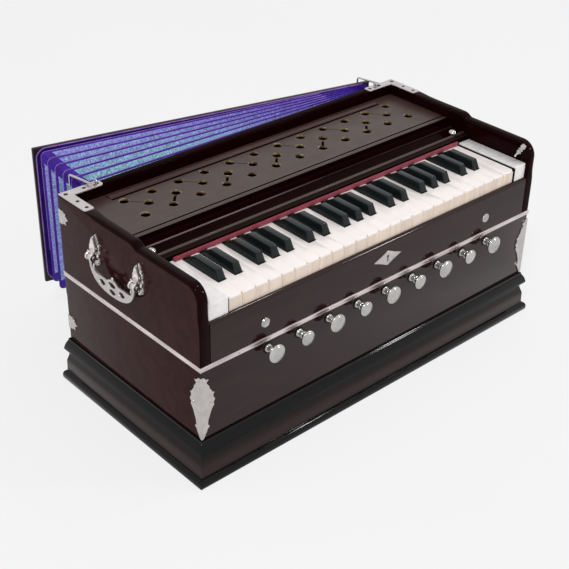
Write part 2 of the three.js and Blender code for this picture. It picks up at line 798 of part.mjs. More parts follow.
// A sharp: lever with a bevelled cap that slopes down at its front
function sharpSolid(key) {
  const capTop = keyTop + sharpRise
  const shape = polygon([
    [sharpFront, keyBottom], [palletFront, keyBottom], [palletFront, reedBoardTop + seatGap],
    [tailEnd, reedBoardTop + seatGap], [tailEnd, leverTop], [capEnd, leverTop],
    [capEnd, capTop], [sharpFront + sharpSlope, capTop], [sharpFront, keyTop],
  ])
  const half = sharpWidth / 2
  const topHalf = sharpTopWidth / 2
  const section = polygon([
    [key.middle - half, reedBoardTop], [key.middle + half, reedBoardTop],
    [key.middle + half, keyTop], [key.middle + topHalf, capTop],
    [key.middle - topHalf, capTop], [key.middle - half, keyTop],
  ])
  const side = sidePrism(shape, key.middle - sharpWidth, key.middle + sharpWidth)
  return side.intersect(frontPrism(section, sharpFront - cutOverrun, tailEnd + cutOverrun))
}

// A stop, turned about its rod: domed disc, stem with a bead, rod and inner collar
const stopShares = [
  [0, 1], [0.5, 0.985], [0.86, 0.93], [1, 0.84], [0.97, 0.74], [0.6, 0.66], [0.42, 0.62],
]

function stopGeometry(diameter) {
  const radius = diameter / 2
  const stem = stopRodDiameter / 2
  const bead = stem + (flangeDiameter / 2 - stem) / 3
  const inside = stopRodInside
  const collar = stopCollarDiameter / 2
  const start = frontThickness + stopTravel + runGap
  const points = [
    ...stopShares.map(([out, along]) => [out * radius, along * stopReach]),
    [stem, stopReach / 2],
    [bead, stopReach / 2 - stem / 4], [bead, stopReach / 2 - stem], [stem, stopReach / 4],
    [stem, -start], [collar, -start], [collar, -start - stopCollarLength],
    [stem, -start - stopCollarLength], [stem, -inside], [0, -inside],
  ]
  const outline = points.map(([out, along]) => new THREE.Vector2(out, along)).reverse()
  return new THREE.LatheGeometry(outline, 10)
}

// A pierced bail hanging from two pins, centred on the pin line
const eyeShares = [[-0.42, 0.46], [0.42, 0.46], [0, 0.27], [0, 0.73]]

function bailSolid() {
  const outer = (handleSpan + bailArmWidth) / 2
  const inner = (handleSpan - bailArmWidth) / 2
  const inside = bailDepth - bailStrap
  const shape = new THREE.Shape()
  shape.moveTo(-outer, 0)
  shape.bezierCurveTo(-outer, -0.8 * bailDepth, -0.55 * outer, -bailDepth, 0, -bailDepth)
  shape.bezierCurveTo(0.55 * outer, -bailDepth, outer, -0.8 * bailDepth, outer, 0)
  shape.lineTo(inner, 0)
  shape.lineTo(inner, -0.4 * inside)
  shape.bezierCurveTo(inner, -inside, 0.75 * inner, -inside, 0, -inside)
  shape.bezierCurveTo(-0.75 * inner, -inside, -inner, -inside, -inner, -0.4 * inside)
  shape.lineTo(-inner, 0)
  for (const [across, down] of eyeShares) {
    const eye = new THREE.Path()
    eye.absellipse(
      across * inner, -inside - down * bailStrap, 0.32 * bailStrap, 0.13 * bailStrap,
      0, 2 * Math.PI)
    shape.holes.push(eye)
  }
  const solids = [sidePrism(shape, -bailThickness / 2, bailThickness / 2, 5)]
  for (const side of sides) {
    const y = side * handleSpan / 2
    const pin = (knuckleLength + lobeThickness) / 2
    const eye = bailArmWidth / 2
    solids.push(rod([0, y - pin, 0], [0, y + pin, 0], bailPinDiameter / 2, 10))
    solids.push(rod([0, y - eye, 0], [0, y + eye, 0], bailEyeDiameter / 2, 10))
  }
  return joined(solids)
}

// A wire hook about its cross pin: the arm reaches back and its tip turns down
function hookSolid(towardsMiddle) {
  const radius = hookDiameter / 2
  const knee = [0, hookReach, -hookSag]
  return joined([
    rod([radius * -towardsMiddle, 0, 0], [towardsMiddle * hookPinLength, 0, 0], radius),
    rod([0, -radius, 0], knee, radius),
    rod([0, hookReach, radius - hookSag], [0, hookReach, -hookSag - hookTipDrop], radius),
  ])
}

// Fixed pieces
place('plinth', plinthSolid(), plinthGloss)
place('case', caseSolid(), caseWood)

// Bellows
place('bellows_pleats', pleatSolid(), bellowsCloth)
const board = place('bellows_board', bellowsBoard(), boardPaint)
board.position.set(hingeX, hingeY, 0)
board.rotation.z = -openAngle

// Lifting top
place('top', topSolid(), topSatin)

// Bails on both sides
const bail = bailSolid()
for (const [name, side] of [['bail_left', -1], ['bail_right', 1]]) {
  const mesh = place(name, bail, chrome)
  mesh.position.set(side * (caseHalf + bailStandoff), handleOffset, handleHeight)
}

// Hooks on both rear corners
for (const { name, side, x } of hookPlaces) {
  place(name, hookSolid(-side), chrome).position.set(x, hookPivotY, hookPivotZ)
}

// Stops, large and small by turns
for (let number = 0; number < stopCount; number++) {
  const diameter = number % 2 ? stopSmallDiameter : stopLargeDiameter
  const mesh = place(`stop_${number + 1}`, stopGeometry(diameter), chrome)
  mesh.position.set(stopX(number), frontFace, stopHeight)
  mesh.rotation.x = Math.PI
}

// Keys
for (const key of keyPlan) {
  if (key.kind === 'natural') place(key.name, naturalSolid(key), naturalCover)
  else place(key.name, sharpSolid(key), sharpCover)
}

export default harmonium
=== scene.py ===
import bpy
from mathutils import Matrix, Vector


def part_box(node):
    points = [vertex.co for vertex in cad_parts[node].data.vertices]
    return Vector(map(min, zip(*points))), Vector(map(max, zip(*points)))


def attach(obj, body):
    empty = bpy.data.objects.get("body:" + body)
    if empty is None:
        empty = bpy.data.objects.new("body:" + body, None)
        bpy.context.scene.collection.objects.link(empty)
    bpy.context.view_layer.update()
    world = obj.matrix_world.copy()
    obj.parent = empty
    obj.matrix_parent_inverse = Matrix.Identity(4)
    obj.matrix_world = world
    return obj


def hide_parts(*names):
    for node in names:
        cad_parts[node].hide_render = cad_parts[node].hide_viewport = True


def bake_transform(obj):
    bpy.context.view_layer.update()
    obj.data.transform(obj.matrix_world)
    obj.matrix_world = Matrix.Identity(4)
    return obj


bl_info = {
    "name": "Indian Harmonium",
    "version": (1, 0, 0),
    "blender": (4, 5, 0),
    "location": "3D View > Sidebar > Harmonium",
    "description": "Builds a portable Indian harmonium around its packed frame",
    "category": "Add Mesh",
}

import math

import bmesh
import bpy
from mathutils import Matrix, Vector

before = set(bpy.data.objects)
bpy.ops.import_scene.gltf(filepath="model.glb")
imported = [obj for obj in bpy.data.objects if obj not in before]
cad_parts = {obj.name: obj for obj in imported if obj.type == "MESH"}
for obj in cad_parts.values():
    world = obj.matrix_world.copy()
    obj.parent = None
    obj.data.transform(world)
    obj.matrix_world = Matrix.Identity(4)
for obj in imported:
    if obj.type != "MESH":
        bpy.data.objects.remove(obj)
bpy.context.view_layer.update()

MM = 0.001
# Places closer than this are taken as one
NEAR = 0.01
# A face whose normal has at least this along x takes the lacquer of the sides, which is painted
# lighter
SIDEWAYS = 0.985
SIDES = (-1, 1)
FORWARD = (0, -1, 0)
WORDS = ((-1, "left"), (1, "right"))

# Places of the boards, in millimetres, as the frame has them
CASE_HALF = 300.0
INNER_HALF = 285.0
FRONT = -141.0
REAR = 141.0
REAR_INNER = 128.0
PLINTH_TOP = 64.0
STRIP_LOW = 162.5
STRIP_HIGH = 169.3
BOX_TOP = 166.0
CHEST_TOP = 197.0
REED_TOP = 209.0
KEY_BOTTOM = 223.0
KEY_TOP = 243.0
LEVER_TOP = 236.0
TOP_UNDER = 256.0
TOP_SURFACE = 265.0
RIM_LOW = 275.0
RIM_TOP = 280.0
KEYBOARD_LEFT = -252.5
KEYBOARD_RIGHT = 260.0
KEY_FRONT = -135.2
PIVOT = -18.2
COVER_END = -32.2
CAP_END = -34.4
CAP_TOP_END = -54.0
# How much wider a key cover is on each side than its node
SNUG = 0.3
SHARP_FRONT = -100.6
NOTCH = -102.67
PALLET_FRONT = 33.8
TAIL_END = 67.8
FALL_FRONT = -31.9
FELT_HALF = 2.2
NOSE = 12.0
TOP_REAR = 127.4
BAR_HALF = 241.0
HOLE_ROW = 75.25
GROOVE = (18.4, 21.1)
REAR_LINE = (108.2, 111.9)
LINE_DEPTH = 2.8
COLUMNS = 12
COLUMN_SHIFT = 7.0
ROW_SHIFT = 5.0
STOPS = 9
STOP_PITCH = 50.5
STOP_Z = 152.0
HANDLE_Y = 13.5
HANDLE_Z = 232.0
HANDLE_SPAN = 89.0
HANDLE_OUT = 10.0
HOOK_Y = 134.5
HOOK_Z = 283.6
EYE_RADIUS = 2.85
HINGE = (268.0, 167.3)
BELLOWS_REACH = 530.0
BELLOWS_INSET = 7.0
BELLOWS_LOW = 64.8
BELLOWS_HIGH = 275.0
INLET_HALF = 100.0
INLET_LOW = 94.3
INLET_HIGH = 124.3
STACK_START = 147.3
STACK = 20.0
OPEN_ANGLE = math.radians(12.6)


# ---------------------------------------------------------------- sizes and colours


def length(name, description, default):
    return bpy.props.FloatProperty(
        name=name, description=description, default=default, min=0.0,
        subtype="DISTANCE", unit="LENGTH",
    )


def colour(name, description, red, green, blue):
    return bpy.props.FloatVectorProperty(
        name=name, description=description, default=(red / 255, green / 255, blue / 255),
        min=0.0, max=1.0, size=3, subtype="COLOR_GAMMA",
    )


class CaseSizes(bpy.types.PropertyGroup):
    cheek_round: length("Cheek edge", "Radius of the bull-nosed cheek edges", 0.0048)
    board_edge: length("Board edge", "Radius of the plain board edges", 0.0014)
    seam: length("Key slip seam", "Gap at each end of the key slip", 0.0004)
    strip_proud: length("Strip", "How far the metal strip stands proud", 0.0012)
    nail_pitch: length("Nail pitch", "Distance between the nails of the strip", 0.047)
    nail_diameter: length("Nail head", "Diameter of the nail heads", 0.0026)


class KeySizes(bpy.types.PropertyGroup):
    cover_thickness: length("Cover", "Thickness of the white key covers", 0.0022)
    cover_edge: length("Cover edge", "Rounding of the cover edges", 0.0002)
    corner_round: length("Corner round", "Rounding of the front corners of the covers", 0.0042)
    nose_round: length("Cover front", "Rounding of the front edge of the covers", 0.0026)
    cap_edge: length("Cap edge", "Rounding of the black caps", 0.0009)
    leather: length("Pallet leather", "Thickness of the leather under the pallets", 0.0018)


class TopSizes(bpy.types.PropertyGroup):
    hole_pitch: length("Hole pitch", "Distance between the sound holes of a row", 0.0432)
    row_pitch: length("Row pitch", "Distance between the rows of sound holes", 0.023)
    hole_diameter: length("Hole diameter", "Diameter of the sound holes", 0.0142)
    rim_width: length("Hole rim", "Thickness of the metal rims in the holes", 0.0004)
    rim_depth: length("Rim depth", "How deep the metal rims reach", 0.0024)


class MetalSizes(bpy.types.PropertyGroup):
    large_stop: length("Large stop", "Diameter of the large stop knobs", 0.025)
    small_stop: length("Small stop", "Diameter of the small stop knobs", 0.0205)
    stop_reach: length("Stop reach", "How far the stop knobs stand out", 0.020)
    plate: length("Plate", "Thickness of the corner plates", 0.0012)
    hook_wire: length("Hook wire", "Diameter of the hook wire", 0.003)
    bail: length("Bail", "Thickness of the pierced bails", 0.0044)


class BellowsSizes(bpy.types.PropertyGroup):
    folds: bpy.props.IntProperty(
        name="Folds", description="Number of folds of the bellows", default=6, min=2, max=8)
    fold_depth: length("Fold depth", "Depth of the folds", 0.012)
    cloth: length("Card and cloth", "Thickness of the folded card and cloth", 0.0014)
    board_lip: length("Board lip", "Width of the raised lip of the outer board", 0.004)


class Finishes(bpy.types.PropertyGroup):
    case_dark: colour("Case, dark", "Dark grain of the case lacquer", 33, 15, 15)
    case_light: colour("Case, light", "Light grain of the case lacquer", 44, 23, 22)
    plinth: colour("Plinth", "Black gloss of the plinth", 13, 12, 13)
    fall: colour("Fall board", "Near-black red lacquer of the fall board", 17, 2, 3)
    top: colour("Sound board", "Satin lacquer of the sound board", 58, 42, 38)
    cover: colour("Key covers", "White of the natural key covers", 250, 242, 239)
    key_front: colour("Key fronts", "Cream of the natural key fronts", 232, 214, 198)
    cap: colour("Black caps", "Black of the sharp key caps", 19, 25, 26)
    marble: colour("End blocks", "White of the marbled end blocks", 232, 229, 228)
    bright: colour("Bright metal", "Nickel of the knobs and screws", 186, 184, 180)
    satin: colour("Satin metal", "Satin nickel of the plates and bails", 198, 192, 191)
    brass: colour("Brass", "Brass of the rims, pins and reed plates", 190, 150, 84)
    felt: colour("Felt", "Red felt in front of the fall board", 116, 44, 58)
    cloth: colour("Bellows cloth", "Purple cloth of the bellows", 62, 26, 146)
    glitter: colour("Glitter", "Glitter panels next to the case", 118, 176, 178)
    glitter_far: colour("Far glitter", "Glitter panels next to the outer board", 128, 134, 196)
    glitter_deep: colour("Deep glitter", "Violet of the glitter towards the hinge", 92, 62, 186)
    board: colour("Bellows board", "Dark paint of the bellows board", 38, 22, 30)
    wood: colour("Raw wood", "Bare wood of the key levers", 196, 156, 108)


class StageSettings(bpy.types.PropertyGroup):
    floor: colour("Floor", "Pale floor and backdrop", 246, 246, 246)
    world_strength: bpy.props.FloatProperty(
        name="World", description="Strength of the world on dull surfaces", default=0.62, min=0.0)
    key_power: bpy.props.FloatProperty(
        name="Key lamp", description="Power of the key lamp in watts", default=30.0, min=0.0)
    fill_power: bpy.props.FloatProperty(
        name="Fill lamp", description="Power of the fill lamp in watts", default=12.0, min=0.0)


class HarmoniumSettings(bpy.types.PropertyGroup):
    case: bpy.props.PointerProperty(type=CaseSizes)
    keys: bpy.props.PointerProperty(type=KeySizes)
    top: bpy.props.PointerProperty(type=TopSizes)
    metal: bpy.props.PointerProperty(type=MetalSizes)
    bellows: bpy.props.PointerProperty(type=BellowsSizes)
    finishes: bpy.props.PointerProperty(type=Finishes)
    stage: bpy.props.PointerProperty(type=StageSettings)


def settings():
    return bpy.context.scene.harmonium


def in_mm(value):
    return value / MM


# ---------------------------------------------------------------- shapes, in millimetres


def block(low, high, edge=0.0, steps=2, chosen=None):
    """A box between two corners, with rounded edges."""
    bm = bmesh.new()
    bmesh.ops.create_cube(bm, size=1.0)
    spans = [h - l for l, h in zip(low, high)]
    middle = [(h + l) / 2 for l, h in zip(low, high)]
    bmesh.ops.scale(bm, vec=spans, verts=bm.verts)
    bmesh.ops.translate(bm, vec=middle, verts=bm.verts)
    if edge:
        soften(bm, edge, steps, chosen)
    return bm


def soften(bm, edge, steps=2, chosen=None):
    """Rounds the edges that turn by more than a few degrees, or the chosen ones."""
    bm.normal_update()
    edges = [e for e in bm.edges if e.is_manifold and e.calc_face_angle(0.0) > math.radians(25)]
    if chosen:
        edges = [e for e in edges if chosen(e)]
    bmesh.ops.bevel(
        bm, geom=edges, offset=edge, offset_type="OFFSET", affect="EDGES",
        segments=steps, profile=0.5, material=-1, clamp_overlap=True)


def moved(bm, vec):
    bmesh.ops.translate(bm, vec=vec, verts=bm.verts)
    return bm


def spun(bm, angle, axis="Z"):
    bmesh.ops.rotate(bm, cent=(0, 0, 0), matrix=Matrix.Rotation(angle, 3, axis), verts=bm.verts)
    return bm


def stood(bm, origin, along):
    """Sets a shape on an origin, with its height along a direction."""
    turn = Vector(along).to_track_quat("Z", "Y").to_matrix().to_4x4()
    bmesh.ops.transform(bm, matrix=Matrix.Translation(origin) @ turn, verts=bm.verts)
    return bm


def where(test):
    """A test for edges that have both their ends where the test says."""
    return lambda edge: all(test(vert.co) for vert in edge.verts)


def chain(bm, verts, ring=True):
    """Edges from each vertex to the next one, in a ring or open."""
    after = verts[1:] + verts[:1] if ring else verts[1:]
    return [
        bmesh.ops.contextual_create(bm, geom=[a, b])["edges"][0] for a, b in zip(verts, after)]


AXES = {
    "X": lambda u, v, w: (w, u, v),
    "Y": lambda u, v, w: (u, w, v),
    "Z": lambda u, v, w: (u, v, w),
}


def prism(outline, axis, start, end, edge=0.0, steps=2, holes=(), chosen=None):
    """An outline pushed along an axis; holes are outlines of their own."""
    bm = bmesh.new()
    turn = AXES[axis]
    edges = []
    for loop in (outline, *holes):
        edges += chain(bm, [bm.verts.new(turn(u, v, start)) for u, v in loop])
    if holes:
        bmesh.ops.triangle_fill(bm, use_beauty=True, use_dissolve=False, edges=edges)
    else:
        bmesh.ops.contextual_create(bm, geom=edges)
    pushed = bmesh.ops.extrude_face_region(bm, geom=bm.faces[:], use_keep_orig=True)
    verts = [item for item in pushed["geom"] if isinstance(item, bmesh.types.BMVert)]
    bmesh.ops.translate(bm, vec=turn(0, 0, end - start), verts=verts)
    bmesh.ops.recalc_face_normals(bm, faces=bm.faces)
    if edge:
        soften(bm, edge, steps, chosen)
    return bm


def turned(profile, origin=(0, 0, 0), along=(0, 0, 1), steps=32):
    """A turned shape from pairs of radius and height, stood on origin along a direction."""
    bm = bmesh.new()
    verts = [bm.verts.new((radius, 0, height)) for radius, height in profile]
    bmesh.ops.spin(
        bm, geom=verts + chain(bm, verts, False), cent=(0, 0, 0), axis=(0, 0, 1),
        angle=2 * math.pi, steps=steps, use_merge=True)
    bmesh.ops.remove_doubles(bm, verts=bm.verts, dist=0.002)
    bmesh.ops.recalc_face_normals(bm, faces=bm.faces)
    return stood(bm, origin, along)


def loft(rows, capped=True):
    """A skin over rows of points, each row with as many points; open ends are closed."""
    bm = bmesh.new()
    across, down = len(rows[0]), len(rows)
    bmesh.ops.create_grid(bm, x_segments=across - 1, y_segments=down - 1, size=1.0)
    bm.verts.ensure_lookup_table()
    for number, vert in enumerate(bm.verts):
        vert.co = rows[number // across][number % across]
    bmesh.ops.remove_doubles(bm, verts=bm.verts, dist=0.002)
    if capped:
        open_edges = [e for e in bm.edges if e.is_boundary]
        if open_edges:
            bmesh.ops.holes_fill(bm, edges=open_edges, sides=0)
    bmesh.ops.recalc_face_normals(bm, faces=bm.faces)
    return bm


def closed(points):
    return list(points) + [points[0]]


def tube(path, radius, sides=12):
    """A round wire along a path of points, with rounded ends."""
    points = [Vector(p) for p in path]

    def tip(point, way, shares):
        way = way.normalized() * radius
        return [(point + way * f, radius * math.sqrt(1 - f * f)) for f in shares]

    stations = [
        *tip(points[0], points[0] - points[1], (0.98, 0.8, 0.45)),
        *((point, radius) for point in points),
        *tip(points[-1], points[-1] - points[-2], (0.45, 0.8, 0.98))]
    rows = []
    normal = None
    for number, (point, size) in enumerate(stations):
        before = stations[max(number - 1, 0)][0]
        after = stations[min(number + 1, len(stations) - 1)][0]
        way = (after - before).normalized()
        normal = way.orthogonal() if normal is None else normal - way * normal.dot(way)
        normal.normalize()
        side = way.cross(normal)
        rows.append(closed([
            point + (normal * math.cos(a) + side * math.sin(a)) * size
            for a in (2 * math.pi * k / sides for k in range(sides))]))
    return loft(rows)


def ball(centre, spans):
    """A small ball, stretched to half spans."""
    bm = bmesh.new()
    bmesh.ops.create_icosphere(bm, subdivisions=2, radius=1.0)
    bmesh.ops.scale(bm, vec=spans, verts=bm.verts)
    return moved(bm, centre)


def dome(centre, along, radius, height, steps=12):
    """A low round head, as on a nail."""
    profile = [(0, height)] + [
        (radius * math.sin(a), height * math.cos(a)) for a in (0.4, 0.8, 1.15, 1.45)]
    profile += [(radius, -height * 0.5), (0, -height * 0.5)]
    return turned(profile, centre, along, steps)


def screw(centre, along, radius, height, turn=0.4):
    """A countersunk screw head with a slot."""
    head = turned([
        (0, height), (radius * 0.72, height * 0.9), (radius * 0.94, height * 0.5), (radius, 0),
        (radius, -height), (0, -height)], steps=20)
    slot = block(
        (-radius * 1.2, -radius * 0.13, height * 0.3), (radius * 1.2, radius * 0.13, height * 2))
    return stood(carved(head, spun(slot, turn)), centre, along)


def arc(cx, cy, radius, start, end, steps):
    """Points on an arc, its angles in degrees."""
    return [
        (cx + radius * math.cos(math.radians(start + (end - start) * k / steps)),
         cy + radius * math.sin(math.radians(start + (end - start) * k / steps)))
        for k in range(steps + 1)]


def curve(p0, p1, p2, p3, steps):
    """Points on a cubic curve, without its first one."""
    points = []
    for k in range(1, steps + 1):
        t = k / steps
        a, b, c, d = (1 - t) ** 3, 3 * t * (1 - t) ** 2, 3 * t * t * (1 - t), t ** 3
        points.append(tuple(a * w + b * x + c * y + d * z for w, x, y, z in zip(p0, p1, p2, p3)))
    return points


def mesh_of(name, bm):
    """A mesh of a shape, which is freed."""
    mesh = bpy.data.meshes.new(name)
    bm.to_mesh(mesh)
    bm.free()
    return mesh


def placed(name, data):
    """A new object in the scene."""
    thing = bpy.data.objects.new(name, data)
    bpy.context.scene.collection.objects.link(thing)
    return thing


def joined(*shapes):
    """Several shapes as one, keeping the material numbers of their faces."""
    whole = bmesh.new()
    for bm in shapes:
        mesh = mesh_of("shape", bm)
        whole.from_mesh(mesh)
        bpy.data.meshes.remove(mesh)
    return whole


def carved(shape, *cutters, way="DIFFERENCE"):
    """The shape with the cutters taken out of it, or joined to it by a UNION."""
    body = placed("body", mesh_of("body", shape))
    cutter = placed("cutter", mesh_of("cutter", joined(*cutters)))
    cut = body.modifiers.new("cut", "BOOLEAN")
    cut.operation = way
    cut.solver = "EXACT"
    cut.use_self = len(cutters) > 1
    cut.object = cutter
    bpy.context.view_layer.update()
    done = body.evaluated_get(bpy.context.evaluated_depsgraph_get())
    result = bmesh.new()
    result.from_mesh(done.to_mesh())
    done.to_mesh_clear()
    for thing in (body, cutter):
        mesh = thing.data
        bpy.data.objects.remove(thing)
        bpy.data.meshes.remove(mesh)
    return result


def piece(name, body, parts, nodes=(), angle=32, blend=None):
    """Makes one object from shapes and their looks, and sets it on its CAD body.

    A part is a shape or a group of shapes and the name of its look. More looks may follow,
    each with a test for its faces."""
    materials = []
    shapes = []
    for shape, first, *others in parts:
        if isinstance(shape, (list, tuple)):
            shape = joined(*shape)
        shape.normal_update()
        for look, chosen in ((first, None), *others):
            material = finish(look) if isinstance(look, str) else finish(*look)
            if material not in materials:
                materials.append(material)
            for face in shape.faces:
                if chosen is None or chosen(face):
                    face.material_index = materials.index(material)
        shapes.append(shape)
    whole = joined(*shapes)
    bmesh.ops.scale(whole, vec=(MM, MM, MM), verts=whole.verts)
    mesh = mesh_of(name, whole)
    for material in materials:
        mesh.materials.append(material)
    mesh.shade_smooth()
    mesh.set_sharp_from_angle(angle=math.radians(angle))
    thing = placed(name, mesh)
    if blend:
        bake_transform(thing)
    else:
        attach(thing, body)
    if nodes:
        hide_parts(*nodes)
    return thing


def node_box(node):
    low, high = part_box(node)
    return [in_mm(v) for v in low], [in_mm(v) for v in high]


# ---------------------------------------------------------------- finishes


def linear(value):
    return value / 12.92 if value <= 0.04045 else ((value + 0.055) / 1.055) ** 2.4


def shade(rgb, factor=1.0):
    return tuple(min(1.0, linear(c) * factor) for c in rgb) + (1.0,)


class Paint:
    """One procedural material, put together node by node."""

    def __init__(self, name, rgb, roughness, **sockets):
        self.material = bpy.data.materials.new(name)
        self.material.use_nodes = True
        self.nodes = self.material.node_tree.nodes
        self.links = self.material.node_tree.links
        self.shader = self.nodes["Principled BSDF"]
        for socket, value in dict(sockets, Base_Color=shade(rgb), Roughness=roughness).items():
            self.shader.inputs[socket.replace("_", " ")].default_value = value
        self.place = self.nodes.new("ShaderNodeTexCoord").outputs["Object"]

    def feed(self, socket, value):
        """Links a socket to another one, or sets its value."""
        if isinstance(value, bpy.types.NodeSocket):
            self.links.new(value, socket)
        else:
            socket.default_value = value

    def node(self, kind, **values):
        """A new node with some of its sockets fed."""
        made = self.nodes.new("ShaderNode" + kind)
        for name, value in values.items():
            self.feed(made.inputs[name.replace("_", " ")], value)
        return made

    def mapped(self, scale=(1, 1, 1)):
        return self.node("Mapping", Scale=scale, Vector=self.place).outputs["Vector"]

    def along(self, axis):
        return self.node("SeparateXYZ", Vector=self.place).outputs[axis]

    def noise(self, scale, detail=3.0, rough=0.55, stretch=(1, 1, 1), distort=0.0):
        return self.node(
            "TexNoise", Scale=scale, Detail=detail, Roughness=rough, Distortion=distort,
            Vector=self.mapped(stretch)).outputs["Fac"]

    def cells(self, scale, output="Distance"):
        return self.node("TexVoronoi", Scale=scale, Vector=self.mapped()).outputs[output]

    def ramp(self, source, stops):
        node = self.node("ValToRGB", Fac=source)
        ramp = node.color_ramp
        while len(ramp.elements) < len(stops):
            ramp.elements.new(0.5)
        for element, (position, rgba) in zip(ramp.elements, stops):
            element.position = position
            element.color = rgba
        return node.outputs["Color"]

    def grey(self, source, *stops):
        return self.ramp(source, [(at, (level, level, level, 1)) for at, level in stops])

    def spread(self, source, low, high):
        return self.node("MapRange", Value=source, To_Min=low, To_Max=high).outputs["Result"]

    def fade(self, start, end, first, last):
        """Goes from the first value to the last one between two places along x."""
        return self.node(
            "MapRange", Value=self.along("X"), From_Min=start, From_Max=end,
            To_Min=first, To_Max=last).outputs["Result"]

    def mix(self, factor, first, second, way="MIX"):
        node = self.nodes.new("ShaderNodeMix")
        node.data_type = "RGBA"
        node.blend_type = way
        for socket, value in ((0, factor), (6, first), (7, second)):
            self.feed(node.inputs[socket], value)
        return node.outputs[2]

    def sums(self, way, first, second):
        node = self.nodes.new("ShaderNodeMath")
        node.operation = way
        self.feed(node.inputs[0], first)
        self.feed(node.inputs[1], second)
        return node.outputs["Value"]

    def bump(self, height, strength, distance):
        self.give("Normal", self.node(
            "Bump", Strength=strength, Distance=distance, Height=height).outputs["Normal"])

    def give(self, socket, source):
        self.links.new(source, self.shader.inputs[socket])


def tone(colour, level=1.0):
    """A colour of the settings, or plain red, green and blue, at a level."""
    rgb = getattr(settings().finishes, colour) if isinstance(colour, str) else colour
    return [c * level for c in rgb]


def lacquer(name, dark, light, roughness, gloss, coat=0.0, grain=7):
    """Lacquer with lighter streaks along x; dark and light are what tone takes."""
    dark, light = tone(*dark), tone(*light)
    paint = Paint(
        name, dark, roughness, Coat_Weight=coat, Coat_Roughness=0.04, Specular_IOR_Level=gloss)
    streaks = paint.noise(9, 5, 0.6, (1, grain, grain), 0.4)
    clouds = paint.noise(5, 2, 0.5)
    body = paint.ramp(streaks, [(0.35, shade(dark)), (0.68, shade(light))])
    paint.give("Base Color", paint.mix(paint.spread(clouds, 0.0, 0.5), body, shade(dark)))
    paint.give("Roughness", paint.spread(paint.noise(38, 4), roughness * 0.7, roughness * 1.5))
    paint.bump(paint.noise(90, 2), 0.05, 0.0006)
    return paint


# The sides take the case lacquer painted 1.35 times lighter and browner, as painted light, and less
# mirror-like, since the camera sees them at a grazing angle
LACQUERS = {
    "case": ("case_lacquer", ("case_dark",), ("case_light",), 0.06, 0.26),
    "side": ("side_lacquer", ("case_dark", 1.35), ("case_light", 1.35), 0.06, 0.05),
    "fall": ("fall_lacquer", ("fall",), ("fall", 1.4), 0.07, 0.006),
    # Near-black on the cheek edges and inner faces: painted shade and dark reflection on the case
    # lacquer
    "edge": ("edge_lacquer", ("fall", 1.1), ("fall", 1.7), 0.05, 0.035),
    # Brown for the upward ledge faces of the fall board: a painted reflection
    "rail": ("rail_lacquer", ((0.105, 0.066, 0.056),), ((0.125, 0.08, 0.07),), 0.14, 0.01),
    "bar": ("bar_lacquer", ((0.235, 0.155, 0.16),), ((0.285, 0.20, 0.20),), 0.3, 0.16),
    "top": ("top_satin", ("top",), ("top", 1.15), 0.34, 0.3, 0.03, 8),
    "board": ("board_paint", ("board",), ("board",), 0.3, 0.2, 0.05),
}


def plain(name, colour, roughness, tones=(), rough=(), bump=(), **sockets):
    """A paint whose colour, roughness and relief follow noises.

    Each of the three starts with what the noise takes. Then tones has places with levels of
    the colour or with colours of their own, rough its range, and bump strength and distance."""
    rgb = tone(colour)
    paint = Paint(name, rgb, roughness, **sockets)
    if tones:
        paint.give("Base Color", paint.ramp(paint.noise(*tones[0]), [
            (at, shade(level) if isinstance(level, tuple) else shade(rgb, level))
            for at, level in tones[1:]]))
    if rough:
        paint.give("Roughness", paint.spread(paint.noise(*rough[0]), *rough[1:]))
    if bump:
        paint.bump(paint.noise(*bump[0]), *bump[1:])
    return paint


